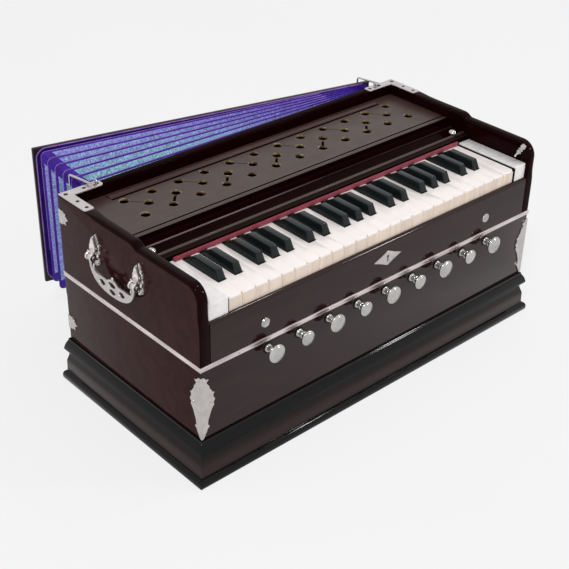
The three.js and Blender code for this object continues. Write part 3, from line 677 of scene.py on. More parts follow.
PLAIN = {
    "cover": dict(
        name="white_cover", colour="cover", roughness=0.24,
        tones=((26, 4, 0.5, (6, 1, 1), 0.6), (0.3, 1.0), (0.6, 0.975), (0.8, 0.94)),
        rough=((60, 3), 0.18, 0.32), bump=((240, 2), 0.04, 0.0004),
        Coat_Weight=0.2, Coat_Roughness=0.1, Subsurface_Weight=0.04,
        Subsurface_Radius=(0.004, 0.003, 0.002), Subsurface_Scale=1.0),
    "front": dict(
        name="cream_front", colour="key_front", roughness=0.42,
        tones=((30, 4, 0.6, (4, 1, 0.5), 0.3), (0.3, 0.85), (0.7, 1.08)),
        bump=((300, 2), 0.05, 0.0004)),
    "cap": dict(
        name="black_cap", colour="cap", roughness=0.2,
        tones=((40, 3, 0.5, (5, 1, 5)), (0.3, 0.8), (0.7, 1.25)),
        rough=((70, 3), 0.14, 0.3), bump=((260, 2), 0.04, 0.0004),
        Coat_Weight=0.08, Coat_Roughness=0.08, Specular_IOR_Level=0.2),
    "marble": dict(
        name="marble_block", colour="marble", roughness=0.2,
        tones=((22, 5, 0.62, (1, 1, 1), 2.2), (0.34, 0.84), (0.46, 0.97), (0.56, 1.04),
               (0.66, 0.92)),
        bump=((200, 2), 0.03, 0.0004), Coat_Weight=0.3, Coat_Roughness=0.08),
    "bright": dict(
        name="bright_metal", colour="bright", roughness=0.12,
        tones=((55, 4), (0.3, 0.8), (0.7, 1.1)),
        rough=((80, 5, 0.7), 0.06, 0.22), bump=((420, 3), 0.06, 0.0003), Metallic=1.0),
    "cast": dict(
        name="cast_metal", colour="satin", roughness=0.2,
        tones=((140, 5), (0.28, 0.85), (0.5, 1.35), (0.75, 1.55)),
        rough=((150, 5, 0.7), 0.08, 0.3), bump=((380, 4), 0.2, 0.0005), Metallic=1.0),
    "satin": dict(
        name="satin_metal", colour="satin", roughness=0.34,
        tones=((70, 4), (0.3, 0.88), (0.7, 1.04)),
        rough=((110, 5, 0.7), 0.24, 0.44), bump=((300, 3), 0.08, 0.0003), Metallic=1.0),
    "strip": dict(
        name="strip_metal", colour="bright", roughness=0.3,
        tones=((60, 4, 0.6, (0.4, 0.4, 4)), (0.3, (0.74, 0.69, 0.69)), (0.7, (0.92, 0.87, 0.87))),
        rough=((90, 4, 0.6, (0.3, 0.3, 3)), 0.2, 0.42), bump=((300, 3), 0.08, 0.0003),
        Metallic=1.0),
    "brass": dict(
        name="brass", colour="brass", roughness=0.3, tones=((90, 4), (0.3, 0.6), (0.7, 1.1)),
        rough=((120, 4), 0.2, 0.45), Metallic=1.0),
    "rim": dict(
        name="aged_brass", colour=(0.6, 0.48, 0.3), roughness=0.38,
        tones=((160, 4), (0.3, (0.28, 0.21, 0.13)), (0.5, (0.58, 0.47, 0.3)),
               (0.72, (0.95, 0.9, 0.78))),
        rough=((120, 4), 0.26, 0.5), Metallic=0.5),
    "iron": dict(
        name="dark_metal", colour=(0.12, 0.11, 0.11), roughness=0.5,
        rough=((120, 4), 0.35, 0.6), Metallic=0.6),
    "felt": dict(
        name="felt", colour="felt", roughness=0.95,
        tones=((420, 5, 0.75), (0.3, 0.9), (0.55, 1.7), (0.75, 3.0)),
        bump=((420, 5, 0.75), 0.7, 0.0012),
        Sheen_Weight=0.5, Sheen_Roughness=0.5, Sheen_Tint=shade((0.95, 0.6, 0.64))),
    "wood": dict(
        name="raw_wood", colour="wood", roughness=0.62,
        tones=((14, 6, 0.6, (9, 1, 9), 0.5), (0.3, 0.62), (0.5, 1.0), (0.72, 1.18)),
        bump=((120, 5, 0.6, (9, 1, 9)), 0.2, 0.0005)),
    "navy": dict(
        name="navy_line", colour=(0.09, 0.09, 0.36), roughness=0.7,
        tones=((90, 3), (0.3, (0.06, 0.06, 0.28)), (0.7, (0.13, 0.12, 0.46)))),
    # Lilac of the piping round the outer board and of the ridge tapes; on the ridges its paleness
    # is partly a painted highlight
    "lilac": dict(
        name="lilac_piping", colour=(0.52, 0.36, 0.70), roughness=0.45,
        tones=((50, 3), (0.3, (0.42, 0.26, 0.62)), (0.7, (0.62, 0.46, 0.78)))),
    # A near-black plate behind the keyhole: painted shade inside the hole
    "dark": dict(
        name="hole_dark", colour=(0.05, 0.04, 0.04), roughness=0.7, rough=((100, 3), 0.5, 0.9)),
    # Black rings round the stop flanges: painted shadow and dark reflection of the knobs
    "washer": dict(
        name="washer_black", colour=(0.03, 0.022, 0.022), roughness=0.3,
        tones=((160, 4), (0.3, (0.02, 0.015, 0.015)), (0.7, (0.06, 0.05, 0.05))),
        rough=((90, 3), 0.2, 0.45), Coat_Weight=0.0, Specular_IOR_Level=0.1),
}


def worn_edge():
    """The ledge edge of the fall board with a painted highlight, pale towards the bass end."""
    fall = tone("fall")
    paint = Paint("worn_edge", fall, 0.2, Coat_Weight=0.0, Specular_IOR_Level=0.05)
    patches = paint.spread(paint.noise(70, 4), 0.6, 1.0)
    # Painted highlight: strongest at the bass end, fading out towards the treble, broken up by
    # noise
    highlight_share = paint.sums("MULTIPLY", paint.fade(-0.13, 0.03, 1.0, 0.1), patches)
    paint.give("Base Color", paint.mix(highlight_share, shade(fall), shade((0.55, 0.5, 0.49))))
    paint.give("Roughness", paint.spread(paint.noise(50, 3), 0.12, 0.3))
    return paint


def plinth_gloss():
    """Black gloss, with a painted brown reflection of the case on the flat band between its two
    beads.
    """
    paint = Paint("plinth_gloss", tone("plinth"), 0.07, Coat_Weight=0.0, Specular_IOR_Level=0.16)
    height = paint.sums("DIVIDE", paint.along("Z"), PLINTH_TOP * MM)
    black = shade(tone("plinth"))
    # Brown painted by height on the flat band and cove: a painted reflection of the case
    case_reflection_bands = paint.ramp(height, [
        (0.185, black), (0.225, shade((0.22, 0.15, 0.135))), (0.42, shade((0.19, 0.13, 0.12))),
        (0.58, shade((0.11, 0.08, 0.075))), (0.70, black)])
    grain = paint.noise(9, 5, 0.6, (1, 7, 7), 0.4)
    paint.give("Base Color", paint.mix(paint.spread(grain, 0.0, 0.55), case_reflection_bands, black))
    paint.give("Roughness", paint.spread(paint.noise(38, 4), 0.04, 0.12))
    paint.bump(paint.noise(90, 2), 0.02, 0.0004)
    return paint


def leather():
    paint = plain("leather", (0.80, 0.72, 0.60), 0.8, (
        (150, 5), (0.3, (0.66, 0.56, 0.44)), (0.7, (0.84, 0.76, 0.64))))
    paint.bump(paint.cells(520), 0.3, 0.0004)
    return paint


def chest_wood():
    rgb = [c * f for c, f in zip(tone("wood"), (0.72, 0.66, 0.6))]
    return plain(
        "chest_wood", rgb, 0.6,
        ((10, 6, 0.6, (1, 9, 9), 0.5), (0.3, 0.6), (0.5, 1.0), (0.72, 1.2)),
        bump=((120, 5, 0.6, (1, 9, 9)), 0.2, 0.0005))


def cloth(level=1.0):
    paint = plain(
        f"bellows_cloth_{round(level * 100)}", "cloth", 0.5,
        ((45, 4), (0.3, 0.6 * level), (0.55, level), (0.75, 1.6 * level)),
        ((60, 3), 0.36, 0.6), Sheen_Weight=0.06, Sheen_Roughness=0.4,
        Sheen_Tint=shade((0.7, 0.6, 1.0)), Specular_IOR_Level=0.2)
    threads = [paint.noise(700, 1, 0.5, way) for way in ((1, 0.2, 1), (0.2, 1, 0.2))]
    paint.bump(paint.sums("MULTIPLY", *threads), 0.4, 0.0006)
    return paint


def glitter(share):
    """Glitter of one fold: its colour changes from fold to fold and along the fold."""
    rgb = [a + (b - a) * share for a, b in zip(tone("glitter"), tone("glitter_far"))]
    paint = Paint(
        f"glitter_{round(share * 100)}", rgb, 0.45, Metallic=0.2, Specular_IOR_Level=0.3)
    body = paint.mix(
        paint.fade(-0.10, 0.16, 0.0, 0.9), shade(rgb), shade(tone("glitter_deep")))
    clouds = paint.spread(paint.noise(30, 3, 0.6), 0.0, 0.35)
    body = paint.mix(clouds, body, shade(tone("glitter_far")))
    grain = paint.node("SeparateColor", Color=paint.cells(560, "Color")).outputs[0]
    grains = paint.grey(grain, (0.0, 0.22), (0.55, 0.5), (1.0, 0.86))
    spark = paint.grey(paint.cells(240), (0.14, 1.0), (0.26, 0.0))
    paint.give("Base Color", paint.mix(
        paint.sums("MULTIPLY", spark, 0.45), paint.mix(0.7, body, grains, "OVERLAY"),
        shade((0.9, 0.93, 0.98))))
    paint.give("Roughness", paint.spread(grain, 0.2, 0.6))
    paint.bump(grain, 0.5, 0.0005)
    return paint


MAKERS = {
    "plinth": plinth_gloss, "worn": worn_edge, "leather": leather, "chest": chest_wood,
    "cloth": cloth, "glitter": glitter,
}
MADE = {}


def finish(name, *details):
    """The material of that name, made once."""
    key = (name, *details)
    if key not in MADE:
        if name in LACQUERS:
            paint = lacquer(*LACQUERS[name])
        elif name in PLAIN:
            paint = plain(**PLAIN[name])
        else:
            paint = MAKERS[name](*details)
        MADE[key] = paint.material
    return MADE[key]


# ---------------------------------------------------------------- plinth and case


class BuildOperator:
    """What all the operators here share."""

    bl_options = {"REGISTER", "UNDO"}

    def execute(self, context):
        self.build(settings())
        return {"FINISHED"}


def rect_loop(out, z, rear_share=1.0, radius=1.2, steps=3):
    """A ring round the case with small corner arcs, out from its faces."""
    half = CASE_HALF + out
    front = FRONT - out
    rear = REAR + out * (rear_share if out > 0 else 1.0)
    points = []
    for cx, cy, start in (
            (half, rear, 0), (-half, rear, 90), (-half, front, 180), (half, front, 270)):
        mx = cx - math.copysign(radius, cx)
        my = rear - radius if cy == rear else front + radius
        points += arc(mx, my, radius, start, start + 90, steps)
    return closed([(x, y, z) for x, y in points])


def inlet(front, rear):
    """The air inlet through the boards behind the case."""
    return block((-INLET_HALF, front, INLET_LOW), (INLET_HALF, rear, INLET_HIGH))


# The plinth stands out less behind the case than round the rest of it
PLINTH_REAR_SHARE = 8.2 / 12.7
# How far out, and how high, from the floor up and down again inside
PLINTH_PROFILE = (
    (11.3, 0.0), (12.2, 0.9), (12.7, 2.6), (12.7, 6.8), (12.2, 8.9), (10.8, 10.9), (8.8, 11.9),
    (7.3, 12.3), (7.0, 13.2), (6.75, 20.0), (6.6, 28.5), (6.2, 30.4), (5.2, 33.2), (4.1, 36.2),
    (3.3, 39.4), (2.95, 42.4), (3.1, 44.4), (4.0, 45.5), (6.6, 46.3), (8.2, 47.2), (8.7, 48.4),
    (8.5, 49.9), (7.6, 53.4), (6.2, 56.6), (4.7, 59.2), (3.6, 60.8), (2.9, 61.6), (2.9, 63.4),
    (2.4, 64.0), (-21.6, 64.0), (-22.0, 63.6), (-22.0, 12.0),
)


class HARMONIUM_OT_plinth(BuildOperator, bpy.types.Operator):
    """Adds the moulded black plinth with its mitred corners and hollow floor"""

    bl_idname = "harmonium.plinth"
    bl_label = "Plinth"

    def build(self, s):
        shell = loft([
            rect_loop(out, z, PLINTH_REAR_SHARE, 0.9 if out > 0 else 0.5)
            for out, z in PLINTH_PROFILE])
        piece("plinth_moulding", "case", [(shell, "plinth")], ["plinth"], 24)


def cheek_stations():
    """The cheek's outline from its front foot over the top to its rear foot."""
    line = [(FRONT, z) for z in (BOX_TOP, 190.0, 214.0, 222.0, 230.0, 238.0, 246.0)]
    line += arc(FRONT + 22, RIM_LOW - 22, 22, 180, 90, 12)
    line += [(y, RIM_LOW) for y in (-105.0, -80.0, -55.0, -33.0)]
    line += curve((-28.0, RIM_LOW), (-20.5, RIM_LOW - 1.4), (-20.5, RIM_TOP), (-10.0, RIM_TOP), 12)
    line += [(y, RIM_TOP) for y in (0.0, 30.0, 52.0, 60.0, 68.0, 76.0, 100.0, 125.0)]
    line += arc(REAR - 2.2, RIM_TOP - 2.2, 2.2, 90, 0, 4)
    line += [(REAR, z) for z in (270.0, 220.0, BOX_TOP)]
    return line


def cheek_shape(side, nose, plain):
    """A cheek whose edges go from a bull nose in front to a plain edge behind and below."""
    line = cheek_stations()
    rows = []
    for number, (y, z) in enumerate(line):
        before = line[max(number - 1, 0)]
        after = line[min(number + 1, len(line) - 1)]
        ty, tz = after[0] - before[0], after[1] - before[1]
        size = math.hypot(ty, tz)
        ny, nz = -tz / size, ty / size
        if number in (0, len(line) - 1):
            ny, nz = (-1.0, 0.0) if number == 0 else (1.0, 0.0)
        low = min(max((z - 216) / 20, 0.0), 1.0) if y < -118 else 1.0
        rear = min(max((76 - y) / 22, 0.0), 1.0)
        share = min(low, rear)
        radius = plain + (nose - plain) * share * share * (3 - 2 * share)
        row = []
        for k in range(15):
            angle = math.radians(90 * (k % 8 + k // 8) / 7)
            if k < 8:
                across = CASE_HALF - radius + radius * math.cos(angle)
                deep = radius - radius * math.sin(angle)
            else:
                across = INNER_HALF + radius - radius * math.sin(angle)
                deep = radius - radius * math.cos(angle)
            row.append((side * across, y - ny * deep, z - nz * deep))
        rows.append(row)
    return cheek_sides(loft(rows, capped=False))


def cheek_sides(bm):
    """Closes the two flat sides and the foot of a cheek."""
    ends = sorted({round(v.co.x, 3) for v in bm.verts if v.is_boundary})
    for x in (ends[0], ends[-1]):
        foot = [
            v for v in bm.verts
            if v.is_boundary and abs(v.co.x - x) < NEAR and abs(v.co.z - BOX_TOP) < NEAR]
        foot = [min(foot, key=lambda v: v.co.y), max(foot, key=lambda v: v.co.y)]
        made = bmesh.ops.contextual_create(bm, geom=foot)["edges"]
        edges = [
            e for e in bm.edges
            if e.is_boundary and all(abs(v.co.x - x) < NEAR for v in e.verts)]
        bmesh.ops.edgeloop_fill(bm, edges=list(set(edges + made)))
    rim = [e for e in bm.edges if e.is_boundary or e.is_wire]
    bmesh.ops.edgeloop_fill(bm, edges=rim)
    bmesh.ops.recalc_face_normals(bm, faces=bm.faces)
    return bm


class HARMONIUM_OT_case_box(BuildOperator, bpy.types.Operator):
    """Adds the lacquered case: lower box, two shaped cheeks, rear board and key slip"""

    bl_idname = "harmonium.case_box"
    bl_label = "Case box"

    def build(self, s):
        edge = in_mm(s.case.board_edge)
        rows = [rect_loop(out, z, 1.0, radius) for out, z, radius in (
            (0, PLINTH_TOP + 0.3, edge), (0, BOX_TOP, edge), (-15, BOX_TOP, 0.5),
            (-15, PLINTH_TOP + 0.3, 0.5))]
        ring = loft([*rows, rows[0]], capped=False)
        holes = [
            turned(
                [(0, -20), (3.4, -20), (3.4, 6), (0, 6)],
                (stop_place(number), FRONT, STOP_Z), FORWARD, 20)
            for number in range(STOPS)]
        ring = carved(ring, *holes, inlet(120, 150))
        # The end faces take the side lacquer, painted lighter than the front
        ends = ("side", lambda face: abs(face.normal.x) > SIDEWAYS)
        piece("case_lower_box", "case", [(ring, "case", ends)], ["case"])
        for side, word in WORDS:
            cheek = cheek_shape(side, in_mm(s.case.cheek_round), edge)
            # Each cheek is painted near-black on its edges and inner face as shade and dark
            # reflection; its flat outer face takes the side lacquer, painted lighter
            flat = ("side", lambda face, side=side: face.normal.x * side >= SIDEWAYS)
            piece(f"cheek_{word}", "case", [(cheek, "edge", flat)], (), 30)
        outline = [(REAR_INNER, BOX_TOP), (REAR, BOX_TOP)]
        outline += arc(REAR - 1.6, RIM_TOP - 1.6, 1.6, 0, 90, 4)
        outline += arc(REAR_INNER + 2.6, RIM_TOP - 2.6, 2.6, 90, 180, 5)
        rear = prism(outline, "X", -INNER_HALF, INNER_HALF)
        piece("rear_board", "case", [(rear, "fall")], ())
        seam = in_mm(s.case.seam)
        outline = [(FRONT, BOX_TOP)] + arc(FRONT + 5, 219.5, 5, 180, 90, 8)
        outline += [(FRONT + 5.3, 224.4), (FRONT + 5.3, CHEST_TOP), (FRONT + 15, CHEST_TOP),
                    (FRONT + 15, BOX_TOP)]
        slip = prism(outline, "X", -INNER_HALF + seam, INNER_HALF - seam)
        piece("key_slip", "case", [(slip, "case")], ())


KEYS = [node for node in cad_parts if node.startswith("key_")]
SHARPS = [node for node in KEYS if "sharp" in node]


def key_span(node):
    """Left and right of a key's tail in the space between the sharps beside it."""
    (left, *_), (right, *_) = node_box(node)
    for other in () if node in SHARPS else SHARPS:
        (near, *_), (far, *_) = node_box(other)
        if near < left < far:
            left = far + 0.7
        if near < right < far:
            right = near - 0.7
    return left, right


class HARMONIUM_OT_inner_boards(BuildOperator, bpy.types.Operator):
    """Adds the reed board with its reed plates, the two key rails, the ledges and end blocks"""

    bl_idname = "harmonium.inner_boards"
    bl_label = "Inner boards"

    def build(self, s):
        board = block(
            (-INNER_HALF, -126.0, CHEST_TOP), (INNER_HALF, REAR_INNER, REED_TOP), 0.4, 1)
        middle = (PALLET_FRONT + TAIL_END) / 2
        slots, plates, pins, guides = [], [], [], []

        def across(x, half, front, rear, low, high, *edge):
            return block((x - half, middle + front, low), (x + half, middle + rear, high), *edge)

        for node in KEYS:
            x = sum(key_span(node)) / 2
            slots.append(across(x, 3.5, -13, 13, CHEST_TOP - 2, REED_TOP + 2))
            plates.append(carved(
                across(x, 5, -30, 16, CHEST_TOP - 2.4, CHEST_TOP, 0.3, 1),
                across(x, 1.9, -11, 12, CHEST_TOP - 4, CHEST_TOP + 2)))
            plates.append(across(x, 1.6, -13, 11.4, CHEST_TOP - 3.1, CHEST_TOP - 2.6))
            plates.append(screw((x, middle - 21, CHEST_TOP - 2.4), (0, 0, -1), 2.2, 0.9))
            pins.append(tube([(x, PIVOT, KEY_BOTTOM - 4), (x, PIVOT, LEVER_TOP + 3.4)], 1.1, 10))
            y = guide_place(node)
            guides.append(tube([(x, y, REED_TOP - 1), (x, y, KEY_BOTTOM + 2.5)], 1.3, 10))
        board = carved(board, *slots)
        piece("reed_board", "case", [(board, "chest")], ())
        piece("reed_plates", "case", [(plates, "brass")], ())
        rail = prism(
            [(PIVOT + back, z) for back, z in (
                (-8, REED_TOP), (8, REED_TOP), (2.5, 221.2), (2.2, 222.7), (-2.2, 222.7),
                (-2.5, 221.2))], "X", -INNER_HALF, INNER_HALF)
        front, rest = KEY_FRONT + 9, REED_TOP + 3.6
        touch = block(
            (KEYBOARD_LEFT, front, REED_TOP), (KEYBOARD_RIGHT, front + 12, rest), 0.5, 1)
        soft = block(
            (KEYBOARD_LEFT, front + 0.6, rest), (KEYBOARD_RIGHT, front + 11.4, rest + 2.5), 0.9, 3)
        piece("key_rails", "case", [
            (rail, "chest"), (touch, "chest"), (soft, "felt"), ([*pins, *guides], "brass")],
            ())
        wide = 9
        ledges = [
            block((left, 26.6, 243.7), (left + wide, REAR_INNER - 0.4, TOP_UNDER - 0.4), 0.6, 1)
            for left in (-INNER_HALF, INNER_HALF - wide)]
        piece("top_ledges", "case", [(ledges, "chest")], ())
        blocks = [
            block((start, -136.6, REED_TOP + 0.1), (end, COVER_END, KEY_TOP + 3.4), 1.1, 3)
            for start, end in (
                (-INNER_HALF + 0.1, KEYBOARD_LEFT - 1.6), (KEYBOARD_RIGHT + 2.6, INNER_HALF - 0.1))]
        liners = [
            block((KEYBOARD_RIGHT + 0.7, -136.2, REED_TOP + 0.1),
                  (KEYBOARD_RIGHT + 2.7, COVER_END, KEY_TOP + 1.2), 0.2, 1),
            block((KEYBOARD_LEFT - 1.7, -136.2, REED_TOP + 0.1),
                  (KEYBOARD_LEFT - 0.6, COVER_END, KEY_TOP - 0.6), 0.2, 1)]
        piece("end_blocks", "case", [(blocks, "marble"), (liners, "fall")], ())


# ---------------------------------------------------------------- keys


def natural_parts(node, k):
    low, high = node_box(node)
    left, right = low[0] - k["snug"], high[0] + k["snug"]
    tail_left, tail_right = key_span(node)
    cover_low = KEY_TOP - k["cover"]
    outline = [(left, KEY_FRONT), (right, KEY_FRONT), (right, NOTCH)]
    if right - tail_right > 1:
        outline += [(tail_right, NOTCH)]
    outline += [(tail_right, COVER_END), (tail_left, COVER_END)]
    if tail_left - left > 1:
        outline += [(tail_left, NOTCH)]
    outline += [(left, NOTCH)]
    cover = prism(outline, "Z", cover_low - 0.6, KEY_TOP)
    in_front = where(lambda at: at.y < KEY_FRONT + NEAR)
    soften(cover, k["corner"], 5, lambda edge: in_front(edge)
           and abs(edge.verts[0].co.z - edge.verts[1].co.z) > 1)
    nose_end = KEY_FRONT + k["corner"] * 0.99
    soften(cover, k["nose"], 3, where(lambda at: at.z > KEY_TOP - NEAR and at.y < nose_end))
    soften(cover, k["edge"], 2, where(lambda at: at.z > KEY_TOP - NEAR))
    under = cover_low - 0.6
    face = KEY_FRONT + 1.8
    fascia = block(
        (left + 0.1, KEY_FRONT + 0.1, KEY_BOTTOM + 0.2), (right - 0.1, face, under), 0.3, 1)
    head = block((left + 0.2, face, KEY_BOTTOM), (right - 0.2, NOTCH - 0.1, under), 0.3, 1)
    head = carved(head, guide_slot(node, tail_left, tail_right))
    wood = lever(tail_left + 0.1, tail_right - 0.1, NOTCH - 0.1, COVER_END + 0.1, under)
    return [
        (cover, "cover"), (fascia, "front"), ((head, wood), "wood"),
        (pallet_leather(tail_left, tail_right, k), "leather")]


def guide_place(node):
    """How far forward the guide pin of a key stands."""
    return (SHARP_FRONT if node in SHARPS else KEY_FRONT) + 15.0


def guide_slot(node, left, right):
    """The slot under a key that its guide pin runs in."""
    middle, y = (left + right) / 2, guide_place(node)
    return block(
        (middle - 2.1, y - 3.5, KEY_BOTTOM - 1), (middle + 2.1, y + 3.5, KEY_BOTTOM + 13.5))


def lever(left, right, front, step, height):
    return prism([
        (front, KEY_BOTTOM), (PALLET_FRONT, KEY_BOTTOM), (PALLET_FRONT, REED_TOP + 2.4),
        (TAIL_END, REED_TOP + 2.4), (TAIL_END, LEVER_TOP), (step, LEVER_TOP), (step, height),
        (front, height)], "X", left, right, 0.35, 1)


def pallet_leather(left, right, k):
    return block(
        (left + 0.2, PALLET_FRONT + 0.2, REED_TOP + 0.35),
        (right - 0.2, TAIL_END - 0.2, REED_TOP + 0.45 + k["leather"]), 0.4, 1)


def sharp_parts(node, k):
    (left, *_), (right, _, top) = node_box(node)
    base = KEY_TOP - 2.4
    cap = loft([
        closed([(left + inset, front, z), (right - inset, front, z), (right - inset, rear, z),
                (left + inset, rear, z)])
        for inset, front, rear, z in (
            (0.0, SHARP_FRONT, CAP_END, base), (0.0, SHARP_FRONT, CAP_END, KEY_TOP),
            (1.5, SHARP_FRONT + 5.5, CAP_TOP_END, top))])
    bmesh.ops.dissolve_limit(cap, angle_limit=0.01, verts=cap.verts, edges=cap.edges)
    soften(cap, k["cap"], 3, where(lambda at: at.z > KEY_TOP - NEAR))
    wood = lever(left + 0.1, right - 0.1, SHARP_FRONT + 0.2, CAP_END - 0.1, base)
    wood = carved(wood, guide_slot(node, left, right))
    return [
        (cap, "cap"), (wood, "wood"), (pallet_leather(left, right, k), "leather")]


class HARMONIUM_OT_keys(BuildOperator, bpy.types.Operator):
    """Adds the 42 keys, each with its cover or cap, wooden lever and leather-faced pallet"""

    bl_idname = "harmonium.keys"
    bl_label = "Keys"

    def build(self, s):
        k = {
            "cover": in_mm(s.keys.cover_thickness), "edge": in_mm(s.keys.cover_edge),
            "nose": in_mm(s.keys.nose_round), "cap": in_mm(s.keys.cap_edge),
            "leather": in_mm(s.keys.leather), "snug": SNUG,
            "corner": in_mm(s.keys.corner_round)}
        for node in sorted(KEYS):
            make, slot = (
                (sharp_parts, "sharp_cover") if node in SHARPS
                else (natural_parts, "natural_cover"))
            piece(node + "_dressed", node, make(node, k), [node])


# ---------------------------------------------------------------- the lifting top


def hole_places(s):
    """Middles of the sound holes, and the pairs that a slot joins."""
    pitch, step = in_mm(s.top.hole_pitch), in_mm(s.top.row_pitch)
    columns = [(k - (COLUMNS - 1) / 2) * pitch + COLUMN_SHIFT for k in range(COLUMNS)]
    holes = [(x, HOLE_ROW + step) for x in columns] + [(x, HOLE_ROW - step) for x in columns]
    joins = []
    for number, x in enumerate(columns[:-1]):
        middle = (x + pitch / 2, HOLE_ROW)
        holes.append(middle)
        outer = (x, HOLE_ROW + (-step if number % 2 else step))
        joins.append((outer, middle, number % 2 == 1))
    return holes, joins


class HARMONIUM_OT_top(BuildOperator, bpy.types.Operator):
    """Adds the lifting top: pierced sound board, fall board, felt strip and lift knobs"""

    bl_idname = "harmonium.top_board"
    bl_label = "Lifting top"

    def build(self, s):
        half = INNER_HALF - 0.5
        self.sound_board(s, half)
        self.fall_board(half)

    def pierced(self, s, board, half):
        """The board with its groove, rear line, holes and joining slots; and the hole rims."""
        cutters = [
            block((-wide, front, TOP_SURFACE - LINE_DEPTH), (wide, rear, TOP_SURFACE + 1))
            for wide, (front, rear) in ((half + 1, GROOVE), (BAR_HALF, REAR_LINE))]
        rims = []
        radius = in_mm(s.top.hole_diameter) / 2
        rim, deep = in_mm(s.top.rim_width), in_mm(s.top.rim_depth)
        level = TOP_SURFACE - 0.15
        outer = radius + 0.05
        holes, joins = hole_places(s)
        for x, y in holes:
            cutters.append(turned(
                [(0, 0), (radius, 0), (radius, 20), (0, 20)], (x, y, TOP_UNDER - 5), steps=28))
            rims.append(turned([
                (outer, level - deep), (outer, level), (radius - rim * 0.5, level + 0.1),
                (radius - rim, level - 0.1), (radius - rim, level - deep),
                (outer, level - deep)], (x, y, 0), steps=28))
        for (ax, ay), (bx, by), wide in joins:
            way = Vector((bx - ax, by - ay, 0))
            broad, depth = (1.7, TOP_UNDER - 5) if wide else (0.55, TOP_SURFACE - 1.0)
            cutter = block((0, -broad, depth), (way.length, broad, TOP_SURFACE + 5))
            cutters.append(moved(spun(cutter, math.atan2(way.y, way.x)), (ax, ay, 0)))
        return carved(board, *cutters), rims

    def sound_board(self, s, half):
        outline = [
            (TOP_REAR, TOP_UNDER), (TOP_REAR, TOP_SURFACE - 0.5), (TOP_REAR - 0.5, TOP_SURFACE)]
        outline += arc(NOSE + 0.7, TOP_SURFACE - 0.7, 0.7, 90, 180, 3)
        outline += [(NOSE, TOP_UNDER)]
        board, rims = self.pierced(s, prism(outline, "X", -half, half), half)
        # The board's edges, undersides and the walls of its holes, groove and rear line take the
        # near-black lacquer as painted shade
        dark = ("fall", lambda face: face.normal.z < 0.5
                or face.calc_center_median().z < TOP_SURFACE - 0.8)
        bead = [(112.2, TOP_SURFACE - 0.4), (112.2, TOP_SURFACE + 0.2)]
        bead += curve(bead[-1], (114.0, TOP_SURFACE + 2.4), (119.5, TOP_SURFACE + 3.4),
                      (123.2, TOP_SURFACE + 0.6), 8)
        bead += [(123.6, TOP_SURFACE - 0.4)]
        bead = prism(bead, "X", -BAR_HALF, BAR_HALF, 0.3, chosen=where(
            lambda at: abs(at.x) > BAR_HALF - 0.1 and at.z > TOP_SURFACE))
        piece("sound_board", "lid", [(board, "top", dark), (bead, "bar"), (rims, "rim")],
              ["top"], 28)

    def fall_board(self, half):
        fall = [(-24.0, 245.5), (-30.4, 245.5), (-30.4, 249.2), (-31.5, 249.4), (-32.0, 249.9),
                (-32.0, 251.6), (-31.5, 252.2), (-23.6, 252.3)]
        fall += arc(-20.6, 252.0, 2.4, 165, 15, 10)
        fall += [(-17.8, 252.0)]
        fall += curve(fall[-1], (-12.0, 252.0), (-6.0, 252.9), (0.4, 253.5), 5)
        fall += [(0.5, 255.0), (0.9, 255.4)]
        fall += curve(fall[-1], (5.0, 255.4), (9.0, 255.7), (11.3, 257.2), 6)
        fall += [(NOSE + 0.1, 258.6), (NOSE + 0.1, 260.6), (NOSE + 9.0, 260.6),
                 (NOSE + 11.0, TOP_UNDER)]
        fall = prism(fall, "X", -half, half)

        def between(face, front, rear, low, high=TOP_UNDER):
            middle = face.calc_center_median()
            return front < middle.y < rear and low < middle.z < high

        # The upward faces of the ledge take a painted reflection in brown
        band = ("rail", lambda face: face.normal.z > 0.9 and between(face, -40, -23.0, 240))
        # The rounded bead takes the paler satin of the sound board as a painted reflection
        bead = ("top", lambda face: abs(face.normal.x) < 0.5
                and between(face, -23.2, -18.0, 252.1))
        # The ledge edge takes a painted highlight, pale at the bass end
        worn = ("worn", lambda face: between(face, 0.42, 0.95, 253.6, 255.6))
        knobs = [
            turned([
                (2.6, -2.4), (2.6, 0.6), (3.8, 1.1), (5.4, 2.4), (6.3, 4.3), (6.2, 6.0),
                (5.3, 7.7), (3.6, 9.0), (1.8, 9.6), (0, 9.7)], (x, y, 251.4), steps=24)
            for x, y in ((-271.5, -14.0), (265.2, -17.2))]
        left, right = KEYBOARD_LEFT, KEYBOARD_RIGHT
        strip = block(
            (left, FALL_FRONT - FELT_HALF, 243.5), (right, FALL_FRONT + FELT_HALF, 249.3), 1.2, 3)
        under = block((left, FALL_FRONT + 0.8, 244.3), (right, -24.2, 245.7), 0.3, 1)
        piece("fall_board", "lid", [
            (fall, "fall", band, bead, worn), (knobs, "bright"),
            ((strip, under), "felt")], (), 30)


# ---------------------------------------------------------------- metal on the case


def stop_place(number):
    return ROW_SHIFT + (number - STOPS // 2) * STOP_PITCH


# Shares of the knob's radius and reach
KNOB_HEAD = (
    (0, 1), (0.22, 0.995), (0.5, 0.975), (0.74, 0.935), (0.8, 0.9), (0.85, 0.9), (0.93, 0.885),
    (0.99, 0.845), (1, 0.79), (0.955, 0.74), (0.84, 0.7), (0.62, 0.67), (0.44, 0.645),
)
# Radii in millimetres and shares of the reach
KNOB_NECK = (
    (4.1, 0.6), (3.5, 0.54), (3.6, 0.5), (4.9, 0.47), (5.3, 0.43), (4.9, 0.39), (3.6, 0.36),
    (3.0, 0.3),
)
# The rod behind the board with its collar
STOP_ROD = ((3.0, -33.6), (5.4, -33.6), (5.4, -37.2), (3.0, -37.2), (3.0, -43.6), (0, -43.6))


